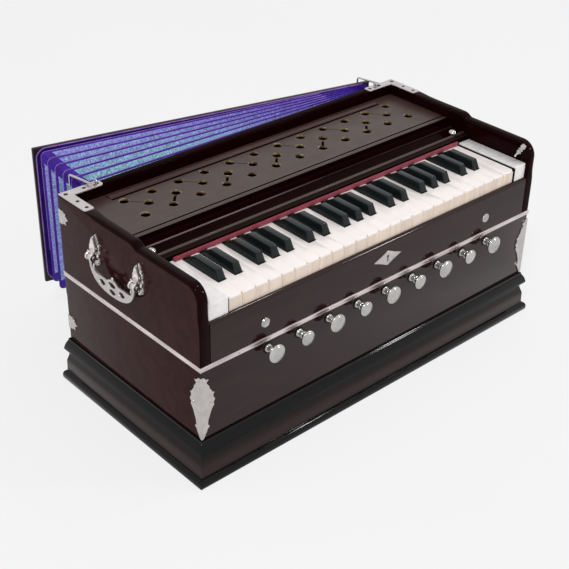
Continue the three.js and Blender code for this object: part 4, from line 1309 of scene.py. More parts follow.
class HARMONIUM_OT_stops(BuildOperator, bpy.types.Operator):
    """Adds the nine turned stops with their rods, collars and fixed flanges"""

    bl_idname = "harmonium.stops"
    bl_label = "Stops"

    def build(self, s):
        reach = in_mm(s.metal.stop_reach)
        flanges, shadow_rings = [], []
        for number in range(STOPS):
            size = in_mm(s.metal.small_stop if number % 2 else s.metal.large_stop) / 2
            at = (stop_place(number), FRONT, STOP_Z)
            profile = [(size * share, reach * out) for share, out in KNOB_HEAD]
            profile += [(radius, reach * out) for radius, out in KNOB_NECK]
            knob = turned([*profile, *STOP_ROD], at, FORWARD, 36)
            stop = f"stop_{number + 1}"
            piece(f"{stop}_knob", stop, [(knob, "bright")], [stop], 40)
            flanges.append(turned([
                (3.35, 0.6), (5.6, 0.6), (5.6, 1.2), (5.2, 1.6), (5.0, 2.4), (4.3, 2.95),
                (3.35, 3.0), (3.35, 0.6)], at, FORWARD, 28))
            # Black rings round the flanges: painted shadow and dark reflection of the knobs
            shadow_rings.append(turned([
                (3.35, -0.5), (7.5, -0.5), (7.5, 0.4), (7.1, 0.8), (5.7, 0.9), (3.35, 0.9),
                (3.35, -0.5)], at, FORWARD, 28))
        piece("stop_flanges", "case", [(flanges, "bright"), (shadow_rings, "washer")], (),
              35)


class HARMONIUM_OT_strip(BuildOperator, bpy.types.Operator):
    """Adds the metal strip that runs round the front and both sides, with its nails"""

    bl_idname = "harmonium.strip"
    bl_label = "Metal strip"

    def build(self, s):
        proud = in_mm(s.case.strip_proud)
        height = STRIP_HIGH - STRIP_LOW
        section = [(-0.5, STRIP_LOW)]
        for k in range(11):
            turn = math.pi * k / 10
            section.append(
                (proud * math.sin(turn) ** 0.45, STRIP_LOW + height * (1 - math.cos(turn)) / 2))
        section.append((-0.5, STRIP_HIGH))
        bar = loft([
            closed([(x * (CASE_HALF + out), REAR if y > 0 else FRONT - out, z)
                    for out, z in section])
            for x, y in ((-1, 1), (-1, -1), (1, -1), (1, 1))])
        nails = []
        radius = in_mm(s.case.nail_diameter) / 2
        middle = (STRIP_LOW + STRIP_HIGH) / 2
        first, sunk = 8, proud * 0.9
        run = 2 * (CASE_HALF - first)
        count = int(run / in_mm(s.case.nail_pitch))
        for k in range(count + 1):
            x = -CASE_HALF + first + k * run / count
            nails.append(dome((x, FRONT - sunk, middle), FORWARD, radius, 0.35))
        for side in SIDES:
            for k in range(6):
                place = (side * (CASE_HALF + sunk), FRONT + first
                         + k * (REAR - FRONT - 2 * first) / 5, middle)
                nails.append(dome(place, (side, 0, 0), radius, 0.35))
        piece("metal_strip", "case", [(bar, "strip"), (nails, "bright")],
              (), 40)


CORNER_LEAF = (
    (0.0, 0.0), (0.07, 0.0), (0.15, 0.03), (0.33, 0.10), (0.41, 0.145), (0.57, 0.18), (0.43, 0.215),
    (0.47, 0.29), (0.58, 0.35), (0.69, 0.42), (0.82, 0.47), (0.93, 0.50), (0.87, 0.535),
    (1.0, 0.585), (0.9, 0.62), (0.86, 0.66), (0.95, 0.70), (0.80, 0.715), (0.70, 0.76),
    (0.61, 0.785), (0.56, 0.835), (0.45, 0.865), (0.37, 0.90), (0.54, 0.94), (0.32, 0.955),
    (0.23, 0.985), (0.12, 1.0), (0.0, 1.0),
)


def corner_leaf(side, plate):
    """A leaf plate folded round a front corner, with a raised midrib and veins."""
    bottom, tall, reach = 65.0, 90.0, 20.0
    bm = bmesh.new()
    for along_x, along_y in ((1, 0), (0, 1)):
        verts = [
            bm.verts.new((side * (CASE_HALF - along_x * out * reach),
                          FRONT + along_y * out * reach, bottom + up * tall))
            for out, up in CORNER_LEAF]
        bmesh.ops.contextual_create(bm, geom=chain(bm, verts))
    bmesh.ops.remove_doubles(bm, verts=bm.verts, dist=0.01)
    bmesh.ops.recalc_face_normals(bm, faces=bm.faces)
    bm.normal_update()
    outward = sum(f.normal.y if abs(f.normal.y) > 0.5 else -side * f.normal.x for f in bm.faces)
    if outward > 0:
        bmesh.ops.reverse_faces(bm, faces=bm.faces)
    bm.normal_update()
    bmesh.ops.solidify(bm, geom=bm.faces[:], thickness=-plate)
    bmesh.ops.recalc_face_normals(bm, faces=bm.faces)
    sunk = plate * 0.55
    veins = [tube(
        [(side * (CASE_HALF + sunk), FRONT - sunk, z) for z in (69, 90, 110, 130, 151)], 0.75, 8)]
    for low, high, out in ((84, 97, 9.0), (98, 116, 14.0), (116, 128, 12.0), (134, 141, 6.0)):
        veins.append(tube(
            [(side * (CASE_HALF - 0.5), FRONT - plate * 0.9, low),
             (side * (CASE_HALF - out), FRONT - plate * 0.8, high)], 0.4, 6))
        veins.append(tube(
            [(side * (CASE_HALF + plate * 0.9), FRONT + 0.5, low),
             (side * (CASE_HALF + plate * 0.8), FRONT + out, high)], 0.4, 6))
    nails = []
    for z, d in ((73.0, 3.0), (115.0, 13.5), (150.0, 2.6)):
        nails.append(dome((side * (CASE_HALF - d), FRONT - plate, z), FORWARD, 1.3, 0.7))
        nails.append(dome((side * (CASE_HALF + plate), FRONT + d, z), (side, 0, 0), 1.3, 0.7))
    return joined(bm, *veins), joined(*nails)


def corner_plate(side, plate):
    """An L-shaped plate on a rear corner of the rim, with its screws."""
    z = RIM_TOP - 0.4
    x = side * (CASE_HALF - 0.6)
    wide, long = 15.0, 60.0
    inner = side * (CASE_HALF - wide)
    end = side * (CASE_HALF - long)
    y = REAR - 0.6
    low, far = y - wide + 1.2, y - long
    outline = [
        (x, y), (end + side * 2, y), (end, y - 2), (end, y - wide + 4), (end + side * 3, low),
        (inner, low), (inner, far + 3), (inner + side * 2, far), (x - side * 2, far),
        (x, far + 3)]
    if side > 0:
        outline.reverse()
    top = RIM_TOP + plate
    bm = prism(outline, "Z", z, top, 0.35, chosen=where(lambda at: at.z > RIM_TOP))
    heads = [
        screw((side * x, y, top - 0.1), (0, 0, 1), radius, 0.5, turn)
        for x, y, radius, turn in (
            (293, 133.0, 3.0, 0.5), (266, 133.5, 2.6, 1.1), (246, 133.5, 2.6, 2.2),
            (292, 108.0, 2.6, 0.2), (292, 88.0, 2.6, 1.7))]
    return bm, joined(*heads)


def side_plate(side, middle, plate):
    """A small shaped plate on a cheek by a rear corner, with two nails."""
    y = REAR - 0.5
    upper = ((0, 9.6), (8, 9.6), (10, 7.4), (15.5, 8.2), (14.4, 3.6))
    outline = [(y, middle - 9.6)]
    outline += [(y - back, middle + up) for back, up in upper]
    outline += [(y - 20, middle)]
    outline += [(y - back, middle - up) for back, up in reversed(upper[1:])]
    ends = sorted((side * (CASE_HALF - 0.5), side * (CASE_HALF + plate)))
    bm = prism(outline, "X", *ends, 0.3, chosen=where(lambda at: abs(at.x) > CASE_HALF))
    heads = [
        dome((side * (CASE_HALF + plate), y - 5, middle + dz), (side, 0, 0), 1.5, 0.7)
        for dz in (-5.5, 5.5)]
    return bm, joined(*heads)


class HARMONIUM_OT_corner_metal(BuildOperator, bpy.types.Operator):
    """Adds the leaf plates, the rear corner plates and the small side plates"""

    bl_idname = "harmonium.corner_metal"
    bl_label = "Corner metal"

    def build(self, s):
        plate = in_mm(s.metal.plate)
        for side, word in WORDS:
            leaf, nails = corner_leaf(side, plate)
            piece(f"leaf_plate_{word}", "case", [(leaf, "satin"), (nails, "bright")],
                  (), 30)
            corner, heads = corner_plate(side, plate)
            plates, nails = zip(*(side_plate(side, z, plate) for z in (93.0, 251.0)))
            piece(f"corner_plates_{word}", "case", [
                ((corner, *plates), "satin"), (heads, "iron"), (nails, "bright")],
                (), 30)


class HARMONIUM_OT_slip_metal(BuildOperator, bpy.types.Operator):
    """Adds the diamond escutcheon with its keyhole and the two cupped slip screws"""

    bl_idname = "harmonium.slip_metal"
    bl_label = "Key slip metal"

    def build(self, s):
        plate = in_mm(s.metal.plate)
        z = 201.0
        quarter = [(25.0, 0.0), (21.0, 1.6), (14.0, 4.2), (7.0, 7.4), (2.4, 9.8), (0.0, 10.5)]
        half = quarter + [(-x, dz) for x, dz in reversed(quarter[:-1])]
        outline = half + [(x, -dz) for x, dz in reversed(half[1:-1])]
        diamond = prism(
            shifted(outline, ROW_SHIFT, z), "Y", FRONT - plate, FRONT + 0.5, 0.3,
            chosen=where(lambda at: at.y < FRONT - 0.5))
        key_round = turned(
            [(0, 0), (1.9, 0), (1.9, 5), (0, 5)], (ROW_SHIFT, FRONT + 2, z + 2.4), FORWARD, 20)
        key_slit = block(
            (ROW_SHIFT - 0.9, FRONT - 3, z - 5.2), (ROW_SHIFT + 0.9, FRONT + 2, z + 2.4))
        diamond = carved(diamond, key_round, key_slit)
        # A near-black plate behind the keyhole stands for the shade inside it
        back = block(
            (ROW_SHIFT - 2.4, FRONT - 0.15, z - 5.8), (ROW_SHIFT + 2.4, FRONT + 0.4, z + 4.8))
        pins = [
            dome((ROW_SHIFT + x, FRONT - plate, z), FORWARD, 1.3, 0.55) for x in (-19.5, 19.5)]
        piece("escutcheon", "case", [
            (diamond, "satin"), (back, "dark"), (pins, "bright")],
            (), 30)
        parts = []
        for side in SIDES:
            at = (side * 201.5, FRONT, 190.0)
            cup = turned([
                (0, -0.3), (6.4, -0.3), (6.5, 0.2), (6.1, 0.9), (5.2, 1.25), (4.4, 1.1),
                (3.9, 0.55), (0, 0.45)], at, FORWARD, 32)
            parts += [cup, screw((at[0], FRONT - 0.5, at[2]), FORWARD, 3.6, 0.75, 0.6 * side)]
        piece("slip_screws", "case", [(parts, "bright")], (), 35)


# ---------------------------------------------------------------- handles, hooks and pegs


POST_HALF = (
    (0.0, -16.0), (2.2, -14.8), (3.6, -11.8), (4.4, -13.8), (6.4, -10.6), (6.8, -7.2), (5.2, -3.6),
    (7.4, -1.0), (7.2, 4.6), (5.4, 6.8), (6.8, 9.6), (6.4, 13.2), (4.4, 15.0), (5.4, 18.6),
    (3.4, 19.6), (2.6, 23.4), (1.4, 25.0), (0.0, 28.4),
)


def both_ways(half):
    """A half outline and its mirror image, as one closed outline."""
    return list(half) + [(-a, b) for a, b in reversed(half[1:-1])]


def shifted(points, across, up, size=1.0):
    return [(across + a * size, up + b * size) for a, b in points]


def handle_post(side, y):
    """A cast leaf post: leaf plate, crown with a diamond facet, band and forked knuckle."""
    def out(distance):
        return side * (CASE_HALF + distance)

    def layer(outline, low, high, edge):
        top = CASE_HALF + high - 0.05
        return prism(outline, "X", *sorted((out(low), out(high))), edge, chosen=where(
            lambda at: abs(at.x) > top))

    plate = layer(shifted(both_ways(POST_HALF), y, HANDLE_Z), -0.4, 2.6, 0.5)
    second = layer(shifted(both_ways(POST_HALF), y, HANDLE_Z + 1.0, 0.8), 2.0, 4.6, 0.8)
    crown = layer(shifted(both_ways(
        ((0.0, 5.4), (4.6, 5.4), (5.8, 9.0), (5.4, 14.0), (3.4, 17.5), (2.0, 22.0), (0.0, 26.0))),
        y, HANDLE_Z), 4.0, 8.6, 1.0)
    band = layer(shifted(both_ways(((0.0, 5.0), (5.4, 5.0), (6.0, 6.4), (5.4, 7.8), (0.0, 7.8))),
                         y, HANDLE_Z), 3.0, 11.4, 0.7)
    diamond = bmesh.new()
    bmesh.ops.create_cone(diamond, cap_ends=True, segments=4, radius1=4.4, radius2=1.2, depth=2.6)
    spun(diamond, math.pi / 2 * side, "Y")
    bmesh.ops.scale(diamond, vec=(1, 0.95, 1.15), verts=diamond.verts)
    moved(diamond, (out(9.8), y, HANDLE_Z + 13.2))
    lumps = [
        ball((out(low), y + across, HANDLE_Z + up), (high - low, wide, tall))
        for across, up, wide, tall, low, high in (
            (0, 20.6, 1.5, 2.2, 6.0, 9.6), (0, 24.2, 1.1, 2.6, 4.0, 7.6),
            (4.8, 11.0, 1.3, 2.6, 4.0, 7.4), (-4.8, 11.0, 1.3, 2.6, 4.0, 7.4),
            (6.4, 0.6, 1.1, 3.2, 3.0, 6.0), (-6.4, 0.6, 1.1, 3.2, 3.0, 6.0),
            (5.2, -8.6, 1.2, 2.6, 3.0, 5.6), (-5.2, -8.6, 1.2, 2.6, 3.0, 5.6),
            (0, -13.0, 1.5, 2.4, 2.6, 4.7))]
    lobes = []
    near, far = 2.95, 5.85
    left, right = sorted((out(3.6), out(7.2)))
    for way in SIDES:
        lobes.append(turned([
            (2.85, near), (5.2, near), (5.5, near + 0.4), (5.5, far - 0.5), (5.0, far),
            (2.85, far), (2.85, near)], (out(HANDLE_OUT), y, HANDLE_Z), (0, way, 0), 24))
        front, rear = sorted((way * near, way * far))
        lobes.append(block(
            (left, y + front, HANDLE_Z - 4.6), (right, y + rear, HANDLE_Z + 5.6), 0.5, 1))
    pin = dome((out(4.4), y, HANDLE_Z - 9.6), (side, 0, 0), 1.5, 0.8)
    return joined(plate, second, crown, band, diamond, *lumps, *lobes, pin)


def bail_outline():
    outer, inner = (HANDLE_SPAN + 5) / 2, (HANDLE_SPAN - 5) / 2
    inside, depth = 17.0, 36.0
    right = [(outer, 0.0)] + curve(
        (outer, 0), (outer, -0.8 * depth), (0.55 * outer, -depth), (0, -depth), 18)
    left = [(-a, b) for a, b in reversed(right[:-1])]
    top = [(-inner, 0.0)] + curve(
        (-inner, 0), (-inner, -4), (-inner, -0.5 * inside), (-inner + 0.3, -0.62 * inside), 4)
    top += curve(
        top[-1], (-inner + 1.4, -inside), (-0.8 * inner, -inside * 1.02), (-22.0, -inside + 0.4), 8)
    top += curve(top[-1], (-14.0, -inside + 0.2), (-11.5, -inside - 0.6), (-9.0, -inside + 1.2), 4)
    top += curve(top[-1], (-6.0, -inside + 3.4), (-3.0, -inside + 4.6), (0, -inside + 4.8), 5)
    top += [(-a, b) for a, b in reversed(top[:-1])]
    return right + left + top


def pointed_eye(across, up, half_width, half_height, steps=6):
    """A pointed oval hole."""
    points = []
    for k in range(steps + 1):
        t = -1 + 2 * k / steps
        points.append((across + t * half_width, up + half_height * (1 - t * t)))
    for k in range(1, steps):
        t = 1 - 2 * k / steps
        points.append((across + t * half_width, up - half_height * (1 - t * t)))
    return points


class HARMONIUM_OT_handles(BuildOperator, bpy.types.Operator):
    """Adds the two side handles: cast leaf posts and pierced swinging bails"""

    bl_idname = "harmonium.handles"
    bl_label = "Handles"

    def build(self, s):
        thick = in_mm(s.metal.bail) / 2
        for side, word in WORDS:
            posts = [handle_post(side, HANDLE_Y + end * HANDLE_SPAN / 2) for end in SIDES]
            piece(f"handle_posts_{word}", "case", [(posts, "cast")], (),
                  30)
            x = side * (CASE_HALF + HANDLE_OUT)
            eyes = [
                pointed_eye(HANDLE_Y + a, HANDLE_Z + b, w, h)
                for a, b, w, h in ((-20.0, -24.2, 6.6, 3.7), (20.0, -24.2, 6.6, 3.7),
                                   (0.0, -19.6, 8.2, 3.4), (0.0, -29.4, 7.6, 3.2))]
            outline = shifted(bail_outline(), HANDLE_Y, HANDLE_Z)
            strap = prism(outline, "X", x - thick, x + thick, 0.7, 2, holes=eyes)
            parts = [strap]
            for end in SIDES:
                y = HANDLE_Y + end * HANDLE_SPAN / 2
                parts.append(turned([
                    (0, -7.3), (2.0, -7.3), (2.35, -6.9), (2.35, 6.9), (2.0, 7.3), (0, 7.3)],
                    (x, y, HANDLE_Z), (0, 1, 0), 20))
                parts.append(turned([
                    (0, -2.4), (4.1, -2.4), (4.5, -2.0), (4.5, 2.0), (4.1, 2.4), (0, 2.4)],
                    (x, y, HANDLE_Z), (0, 1, 0), 24))
                parts.append(ball((x, HANDLE_Y + end * 38.6, HANDLE_Z - 11.0), (2.0, 1.5, 4.2)))
            bead = bmesh.new()
            bmesh.ops.create_uvsphere(bead, u_segments=20, v_segments=12, radius=2.1)
            parts.append(moved(bead, (x, HANDLE_Y, HANDLE_Z - 11.2)))
            piece(f"bail_{word}_dressed", f"{word}_bail", [(parts, "satin")],
                  [f"bail_{word}"], 34)


class HARMONIUM_OT_hooks(BuildOperator, bpy.types.Operator):
    """Adds the two wire hooks that hold the bellows shut, with their screw eyes"""

    bl_idname = "harmonium.hooks"
    bl_label = "Hooks"

    def build(self, s):
        radius = in_mm(s.metal.hook_wire) / 2 * 0.96
        y, z = HOOK_Y, HOOK_Z
        for side, word, x in ((-1, "left", -256.0), (1, "right", 267.0)):
            in_way = -side
            arm = [(x + in_way * 10.6, y, z), (x + in_way * 3.0, y, z)]
            arm += [
                (x + in_way * (1.4 - 1.4 * math.sin(a)), y + 1.4 * (1 - math.cos(a)), z)
                for a in (0.5, 1.0, 1.57)]
            out = x - 1.1 if side < 0 else x
            arm += [(x, y + 20.0, z - 2.0), (out, y + 40.0, z - 3.9)]
            arm += [
                (out, y + 43.0 + 3.0 * math.sin(a), z - 4.3 - 3.0 * (1 - math.cos(a)))
                for a in (0.0, 0.5, 1.0, 1.5)]
            arm += [(out, y + 46.0, z - 14.0), (out, y + 46.0, z - 20.6)]
            piece(f"hook_{word}_wire", f"{word}_hook", [(tube(arm, radius, 14), "bright")],
                  [f"hook_{word}"], 40)
            middle = x - side * 8.5
            eye = [
                (middle, y + EYE_RADIUS * math.sin(a), z - EYE_RADIUS * math.cos(a))
                for a in (k * math.pi / 12 for k in range(1, 24))]
            shank = [(middle, y, z - 3.0), (middle, y, RIM_TOP - 7.0)]
            collar = turned(
                [(0, -0.5), (3.4, -0.5), (3.4, 0.3), (2.6, 0.9), (0, 0.9)],
                (middle, y, RIM_TOP), (0, 0, 1), 20)
            piece(f"hook_eye_{word}", "case", [
                ((tube(eye, 1.0), tube(shank, 1.2), collar), "bright")],
                (), 40)


class HARMONIUM_OT_pegs(BuildOperator, bpy.types.Operator):
    """Adds the ringed stub that leans down on the inside of the treble cheek"""

    bl_idname = "harmonium.pegs"
    bl_label = "Cheek stub"

    def build(self, s):
        lean = math.radians(27)
        peg = turned([
            (0, -3), (4.2, -3), (4.4, 1.2), (4.1, 2.0), (3.0, 2.8), (2.7, 3.6), (3.6, 4.4),
            (4.0, 5.4), (3.6, 6.4), (2.6, 7.2), (2.7, 8.0), (3.7, 8.8), (4.0, 9.7), (3.6, 10.6),
            (2.4, 11.6), (1.5, 12.8), (1.3, 15.0), (1.2, 18.4), (0.8, 18.9), (0, 18.95)],
            (INNER_HALF, -128.0, 267.0), (-math.cos(lean), 0, -math.sin(lean)), 24)
        piece("cheek_stub", "case", [(peg, "bright")], (), 40)


# ---------------------------------------------------------------- bellows


GUSSET = 13.0
CORNER = 7.0


def fold_span(inset):
    """Reach, low and high of a ring of the bellows, drawn in by an inset."""
    return (BELLOWS_REACH - BELLOWS_INSET - inset, BELLOWS_LOW + BELLOWS_INSET / 2 + inset,
            BELLOWS_HIGH - BELLOWS_INSET / 4 - inset)


def fanned(share, radius, z):
    """A point on the upright plane that has turned about the hinge by a share of the opening."""
    angle = OPEN_ANGLE * share
    start = STACK_START + (STACK - 0.3) * share
    return Vector((
        HINGE[0] - radius * math.cos(angle), start + radius * math.sin(angle), z))


def ring_at(share, inset, steps=5):
    """A rounded ring of the bellows on one upright plane."""
    reach, low, high = fold_span(inset)
    heel = inset / 2
    corner = max(CORNER - inset * 0.4, 2.0)
    flat = [(heel, low)]
    flat += [(reach * k / 8, low) for k in range(1, 8)]
    flat += arc(reach - corner, low + corner, corner, -90, 0, steps)
    flat += [(reach, low + (high - low) * k / 6) for k in range(1, 6)]
    flat += arc(reach - corner, high - corner, corner, 0, 90, steps)
    flat += [(reach * k / 8, high) for k in range(7, 0, -1)]
    flat += [(heel, high), (heel, (low + high) / 2)]
    return closed([fanned(share, r, z) for r, z in flat])


def corner_path(share, proud):
    """A short way along a ridge of a fold, round its upper outer corner."""
    reach, _, high = fold_span(0.0)
    flat = [(reach, high - k) for k in (150.0, 100.0, 60.0, 30.0)]
    flat += arc(reach - CORNER, high - CORNER, CORNER, 0, 90, 6)
    flat += [(reach - k, high) for k in (20.0, 60.0, 140.0, 220.0, 300.0, 380.0, 440.0)]
    middle = Vector((reach - 40.0, high - 40.0))
    points = []
    for place in flat:
        off = Vector(place) - middle
        points.append(fanned(share, *(middle + off + off.normalized() * proud)))
    return points


def panel_point(fold, folds, facing, side, along, rise, lift):
    """A point on a panel of a fold, by its share along and up the panel, lifted off it."""
    def at(a, r):
        share = (2 * fold + (r if facing < 0 else 2 - r)) / (2 * folds)
        reach, low, high = fold_span(12.0 * (1 - r))
        if side == "end":
            radius, z = reach, high - GUSSET - a * (high - low - 2 * GUSSET)
        else:
            radius = reach - GUSSET - a * (reach - GUSSET - 26.0)
            z = high if side == "top" else low
        return fanned(share, radius, z)

    here = at(along, rise)
    across = at(along + 0.01, rise) - here
    up = at(along, rise + 0.02) - here
    normal = across.cross(up).normalized()
    outward = {"top": Vector((0, 0, 1)), "bottom": Vector((0, 0, -1)), "end": Vector((-1, 0.2, 0))}
    if normal.dot(outward[side]) < 0:
        normal.negate()
    return here + normal * lift


def glitter_strip(fold, folds, facing, side, pieces):
    """A thin glitter panel glued on a fold, its ends cut along the mitre."""
    low, high = (0.24, 0.78) if side == "end" else (0.2, 0.84)
    row = ((low, -0.25), (low, 0.26), (0.5, 0.4), (high, 0.26), (high, -0.25))
    return loft([
        closed([
            panel_point(fold, folds, facing, side, k / pieces, rise, lift) for rise, lift in row])
        for k in range(pieces + 1)])


class HARMONIUM_OT_bellows(BuildOperator, bpy.types.Operator):
    """Adds the bellows: its frame, six folds with glitter panels, and the outer board"""

    bl_idname = "harmonium.bellows"
    bl_label = "Bellows"

    def build(self, s):
        self.frame()
        folds = s.bellows.folds
        for fold in range(folds):
            self.fold(s, fold, folds)
        self.board(s)

    def frame(self):
        left, right = HINGE[0] - BELLOWS_REACH, HINGE[0]
        body = carved(
            block((left, REAR - 0.5, BELLOWS_LOW), (right, REAR + 6, BELLOWS_HIGH), 1.0, 2),
            inlet(REAR - 2, REAR + 9))
        piece("bellows_frame", "case", [(body, "board")], ())

    def fold(self, s, fold, folds):
        card = in_mm(s.bellows.cloth)
        depth = in_mm(s.bellows.fold_depth)
        step = 1 / (2 * folds)
        low = 2 * fold * step
        marks = [(0.0, 1.0), (0.14, 0.9), (0.5, 0.53), (0.84, 0.14), (0.95, 0.03), (1.0, 0.0),
                 (1.05, 0.03), (1.16, 0.14), (1.5, 0.53), (1.86, 0.9), (2.0, 1.0)]
        outside = [ring_at(low + m * step, depth * inset) for m, inset in marks]
        inside = [ring_at(low + m * step, depth * inset + card) for m, inset in marks]
        rows = outside + inside[::-1]
        shell = loft(rows + [rows[0]], capped=False)
        lines = []
        for m in (0.08, 1.92):
            path = ring_at(low + m * step, depth * 0.93 - 0.15)
            lines.append(tube(path[:-2], 1.6, 6))
        # Pale lilac tape along each ridge: real tape, its paleness partly a painted highlight
        ridge_tape_and_sheen = tube(corner_path(low + step, 0.15), 0.5, 8)
        strips = [
            glitter_strip(fold, folds, facing, side, 8 if side == "end" else 24)
            for facing in SIDES for side in ("top", "bottom", "end")]
        middle = OPEN_ANGLE * (low + step)
        spread = 480 * math.sin(OPEN_ANGLE * step) + STACK * step
        t0, t1 = eased(2 * fold * step), eased(min((2 * fold + 2) * step, 1.0))
        span = 2 * spread / (t1 - t0)
        centre = Vector((HINGE[0], STACK_START + STACK * (low + step), 170.0))
        across = Vector((math.sin(middle), math.cos(middle), 0))
        start = (centre + across * (-spread - t0 * span)) * MM
        end = start + across * span * MM
        piece(f"bellows_fold_{fold + 1}", "bellows", [
            (shell, "cloth"), (lines, "navy"), (ridge_tape_and_sheen, "lilac"),
            (joined(*strips), ("glitter", fold / (folds - 1)))],
            ["bellows_pleats"], 50, blend=(tuple(start), tuple(end)))

    def board(self, s):
        lip = in_mm(s.bellows.board_lip)
        board = block((-BELLOWS_REACH, 0.2, BELLOWS_LOW), (10, 6, BELLOWS_HIGH), 1.2, 3)
        panel = block(
            (34 - BELLOWS_REACH, 5.5, BELLOWS_LOW + 24), (-14, 10, BELLOWS_HIGH - 24), 2.0, 3)
        middle = (BELLOWS_LOW + BELLOWS_HIGH) / 2
        holes, rings = [], []
        for k in range(6):
            x = -BELLOWS_REACH / 2 + (k - 2.5) * 46
            at = ((x, 0, middle), (0, 1, 0), 28)
            holes.append(turned([(0, -3), (7, -3), (7, 14), (0, 14)], *at))
            rings.append(turned([
                (7.0, 9.6), (9.4, 9.8), (9.2, 10.0), (7.2, 10.0), (6.6, 9.6), (6.6, 7.0),
                (7.0, 7.0), (7.0, 9.6)], *at))
        board = carved(carved(board, panel, way="UNION"), *holes)
        rim = loft([
            rim_loop(out, y) for out, y in (
                (0, 0.3), (0, -0.7), (-0.6, -1.1), (-lip - 6, -1.1), (-lip - 6.5, 0.3), (0, 0.3))],
            capped=False)
        piping = tube(rim_loop(0.0, -0.6)[:-1], 0.9, 8)
        looks = ("board", ("cloth", 0.45), "lilac", "brass")
        parts = [
            (moved(spun(bm, -OPEN_ANGLE), (*HINGE, 0)), look)
            for bm, look in zip((board, rim, piping, joined(*rings)), looks)]
        piece("bellows_outer_board", "bellows", parts, ["bellows_board"], 30)


def rim_loop(out, y, corner=15.0):
    """A loop round the outer board, its two far corners rounded."""
    near, reach = -4.0 - out, BELLOWS_REACH - 4.0 + out
    low, high = BELLOWS_LOW + 3.0 - out, BELLOWS_HIGH - 1.4 + out
    corner += out
    points = [(near, low)] + arc(-reach + corner, low + corner, corner, 270, 180, 8)
    points += arc(-reach + corner, high - corner, corner, 180, 90, 8) + [(near, high)]
    return closed([(x, y, z) for x, z in points])


def eased(weight):
    """The place along a smooth step that has this weight."""
    low, high = 0.0, 1.0
    for _ in range(40):
        middle = (low + high) / 2
        if middle * middle * (3 - 2 * middle) < weight:
            low = middle
        else:
            high = middle
    return (low + high) / 2


# ---------------------------------------------------------------- stage


# The camera of the photograph, from the edges and corners of its case
PHOTO_PIXELS = 569.0
FOCAL_PIXELS = 1166.5
CAMERA_PLACE = (-0.9632, -0.9986, 0.9549)
CAMERA_RIGHT = (0.7435, -0.6684, 0.0202)
CAMERA_AHEAD = (0.576, 0.6248, -0.5271)


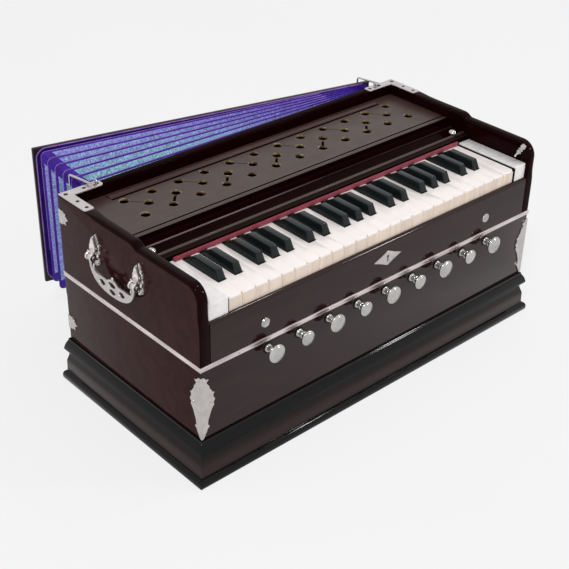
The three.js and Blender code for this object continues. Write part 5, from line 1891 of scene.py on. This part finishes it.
class HARMONIUM_OT_stage(BuildOperator, bpy.types.Operator):
    """Adds the pale floor, the soft studio light and the camera"""

    bl_idname = "harmonium.stage"
    bl_label = "Stage"

    def build(self, s):
        self.floor(s)
        self.light(s)
        self.camera()

    def floor(self, s):
        bm = bmesh.new()
        bmesh.ops.create_grid(bm, x_segments=1, y_segments=1, size=10.0)
        mesh = mesh_of("floor", bm)
        ground = placed("floor", mesh)
        paint = Paint("floor_white", s.stage.floor, 0.9)
        grain = paint.noise(3, 2)
        paint.give("Base Color", paint.ramp(grain, [
            (0.3, shade(s.stage.floor, 0.97)), (0.7, shade(s.stage.floor))]))
        rays = paint.node("LightPath")
        seen = paint.sums("MAXIMUM", rays.outputs["Is Camera Ray"], paint.sums(
            "MAXIMUM", rays.outputs["Is Glossy Ray"], rays.outputs["Is Transmission Ray"]))
        glow = paint.node("Emission", Color=shade(s.stage.floor))
        blend = paint.node("MixShader")
        out = paint.nodes["Material Output"]
        paint.links.new(paint.sums("MULTIPLY", seen, 0.82), blend.inputs[0])
        paint.links.new(paint.shader.outputs[0], blend.inputs[1])
        paint.links.new(glow.outputs[0], blend.inputs[2])
        paint.links.new(blend.outputs[0], out.inputs["Surface"])
        mesh.materials.append(paint.material)

    def light(self, s):
        world = bpy.data.worlds.new("studio")
        bpy.context.scene.world = world
        world.use_nodes = True
        nodes, links = world.node_tree.nodes, world.node_tree.links
        plain = nodes["Background"]
        plain.inputs["Color"].default_value = (1, 1, 1, 1)
        plain.inputs["Strength"].default_value = s.stage.world_strength
        white = nodes.new("ShaderNodeBackground")
        white.inputs["Color"].default_value = (1, 1, 1, 1)
        rays = nodes.new("ShaderNodeLightPath")
        first = nodes.new("ShaderNodeMath")
        first.operation = "MAXIMUM"
        second = nodes.new("ShaderNodeMath")
        second.operation = "MAXIMUM"
        links.new(rays.outputs["Is Glossy Ray"], first.inputs[0])
        links.new(rays.outputs["Is Transmission Ray"], first.inputs[1])
        links.new(rays.outputs["Is Camera Ray"], second.inputs[0])
        links.new(first.outputs[0], second.inputs[1])
        blend = nodes.new("ShaderNodeMixShader")
        links.new(second.outputs[0], blend.inputs[0])
        links.new(plain.outputs[0], blend.inputs[1])
        links.new(white.outputs[0], blend.inputs[2])
        links.new(blend.outputs[0], nodes["World Output"].inputs["Surface"])
        for name, power, size, place in (
                ("key_lamp", s.stage.key_power, 0.32, (-1.6, -1.2, 2.6)),
                ("fill_lamp", s.stage.fill_power, 0.24, (1.9, -1.9, 1.6)),
                ("top_lamp", 5.0, 0.16, (1.15, -0.35, 2.3))):
            lamp = bpy.data.lights.new(name, "AREA")
            lamp.energy = power
            lamp.size = size
            thing = placed(name, lamp)
            thing.location = place
            way = Vector((0, 0, 0.12)) - Vector(place)
            thing.rotation_euler = way.to_track_quat("-Z", "Y").to_euler()
        bpy.context.scene.view_settings.view_transform = "Standard"

    def camera(self):
        lens = bpy.data.cameras.new("camera")
        lens.sensor_width = 36.0
        lens.lens = lens.sensor_width * FOCAL_PIXELS / PHOTO_PIXELS
        lens.clip_end = 60.0
        eye = placed("camera", lens)
        right = Vector(CAMERA_RIGHT).normalized()
        ahead = Vector(CAMERA_AHEAD)
        ahead = (ahead - right * ahead.dot(right)).normalized()
        up = right.cross(ahead)
        turn = Matrix((right, up, -ahead)).transposed().to_4x4()
        eye.matrix_world = Matrix.Translation(CAMERA_PLACE) @ turn
        bpy.context.scene.camera = eye


# ---------------------------------------------------------------- panel and start


PIECES = (
    HARMONIUM_OT_plinth, HARMONIUM_OT_case_box, HARMONIUM_OT_inner_boards, HARMONIUM_OT_keys,
    HARMONIUM_OT_top, HARMONIUM_OT_stops, HARMONIUM_OT_strip, HARMONIUM_OT_slip_metal,
    HARMONIUM_OT_corner_metal, HARMONIUM_OT_handles, HARMONIUM_OT_hooks, HARMONIUM_OT_pegs,
    HARMONIUM_OT_bellows, HARMONIUM_OT_stage,
)


class HARMONIUM_PT_panel(bpy.types.Panel):
    """Lists the pieces of the harmonium"""

    bl_idname = "HARMONIUM_PT_panel"
    bl_label = "Indian Harmonium"
    bl_space_type = "VIEW_3D"
    bl_region_type = "UI"
    bl_category = "Harmonium"

    def draw(self, context):
        layout = self.layout
        groups = context.scene.harmonium
        for group in (groups.case, groups.keys, groups.top, groups.metal, groups.bellows,
                      groups.finishes, groups.stage):
            box = layout.box()
            for name in group.bl_rna.properties.keys():
                if name not in ("rna_type", "name"):
                    box.prop(group, name)
        for operator in PIECES:
            layout.operator(operator.bl_idname)


CLASSES = (
    CaseSizes, KeySizes, TopSizes, MetalSizes, BellowsSizes, Finishes, StageSettings,
    HarmoniumSettings, *PIECES, HARMONIUM_PT_panel,
)


def register():
    for cls in CLASSES:
        bpy.utils.register_class(cls)
    bpy.types.Scene.harmonium = bpy.props.PointerProperty(type=HarmoniumSettings)


def unregister():
    del bpy.types.Scene.harmonium
    for cls in reversed(CLASSES):
        bpy.utils.unregister_class(cls)


def main():
    register()
    for operator in PIECES:
        group, name = operator.bl_idname.split(".")
        getattr(getattr(bpy.ops, group), name)()


if __name__ == "__main__":
    main()
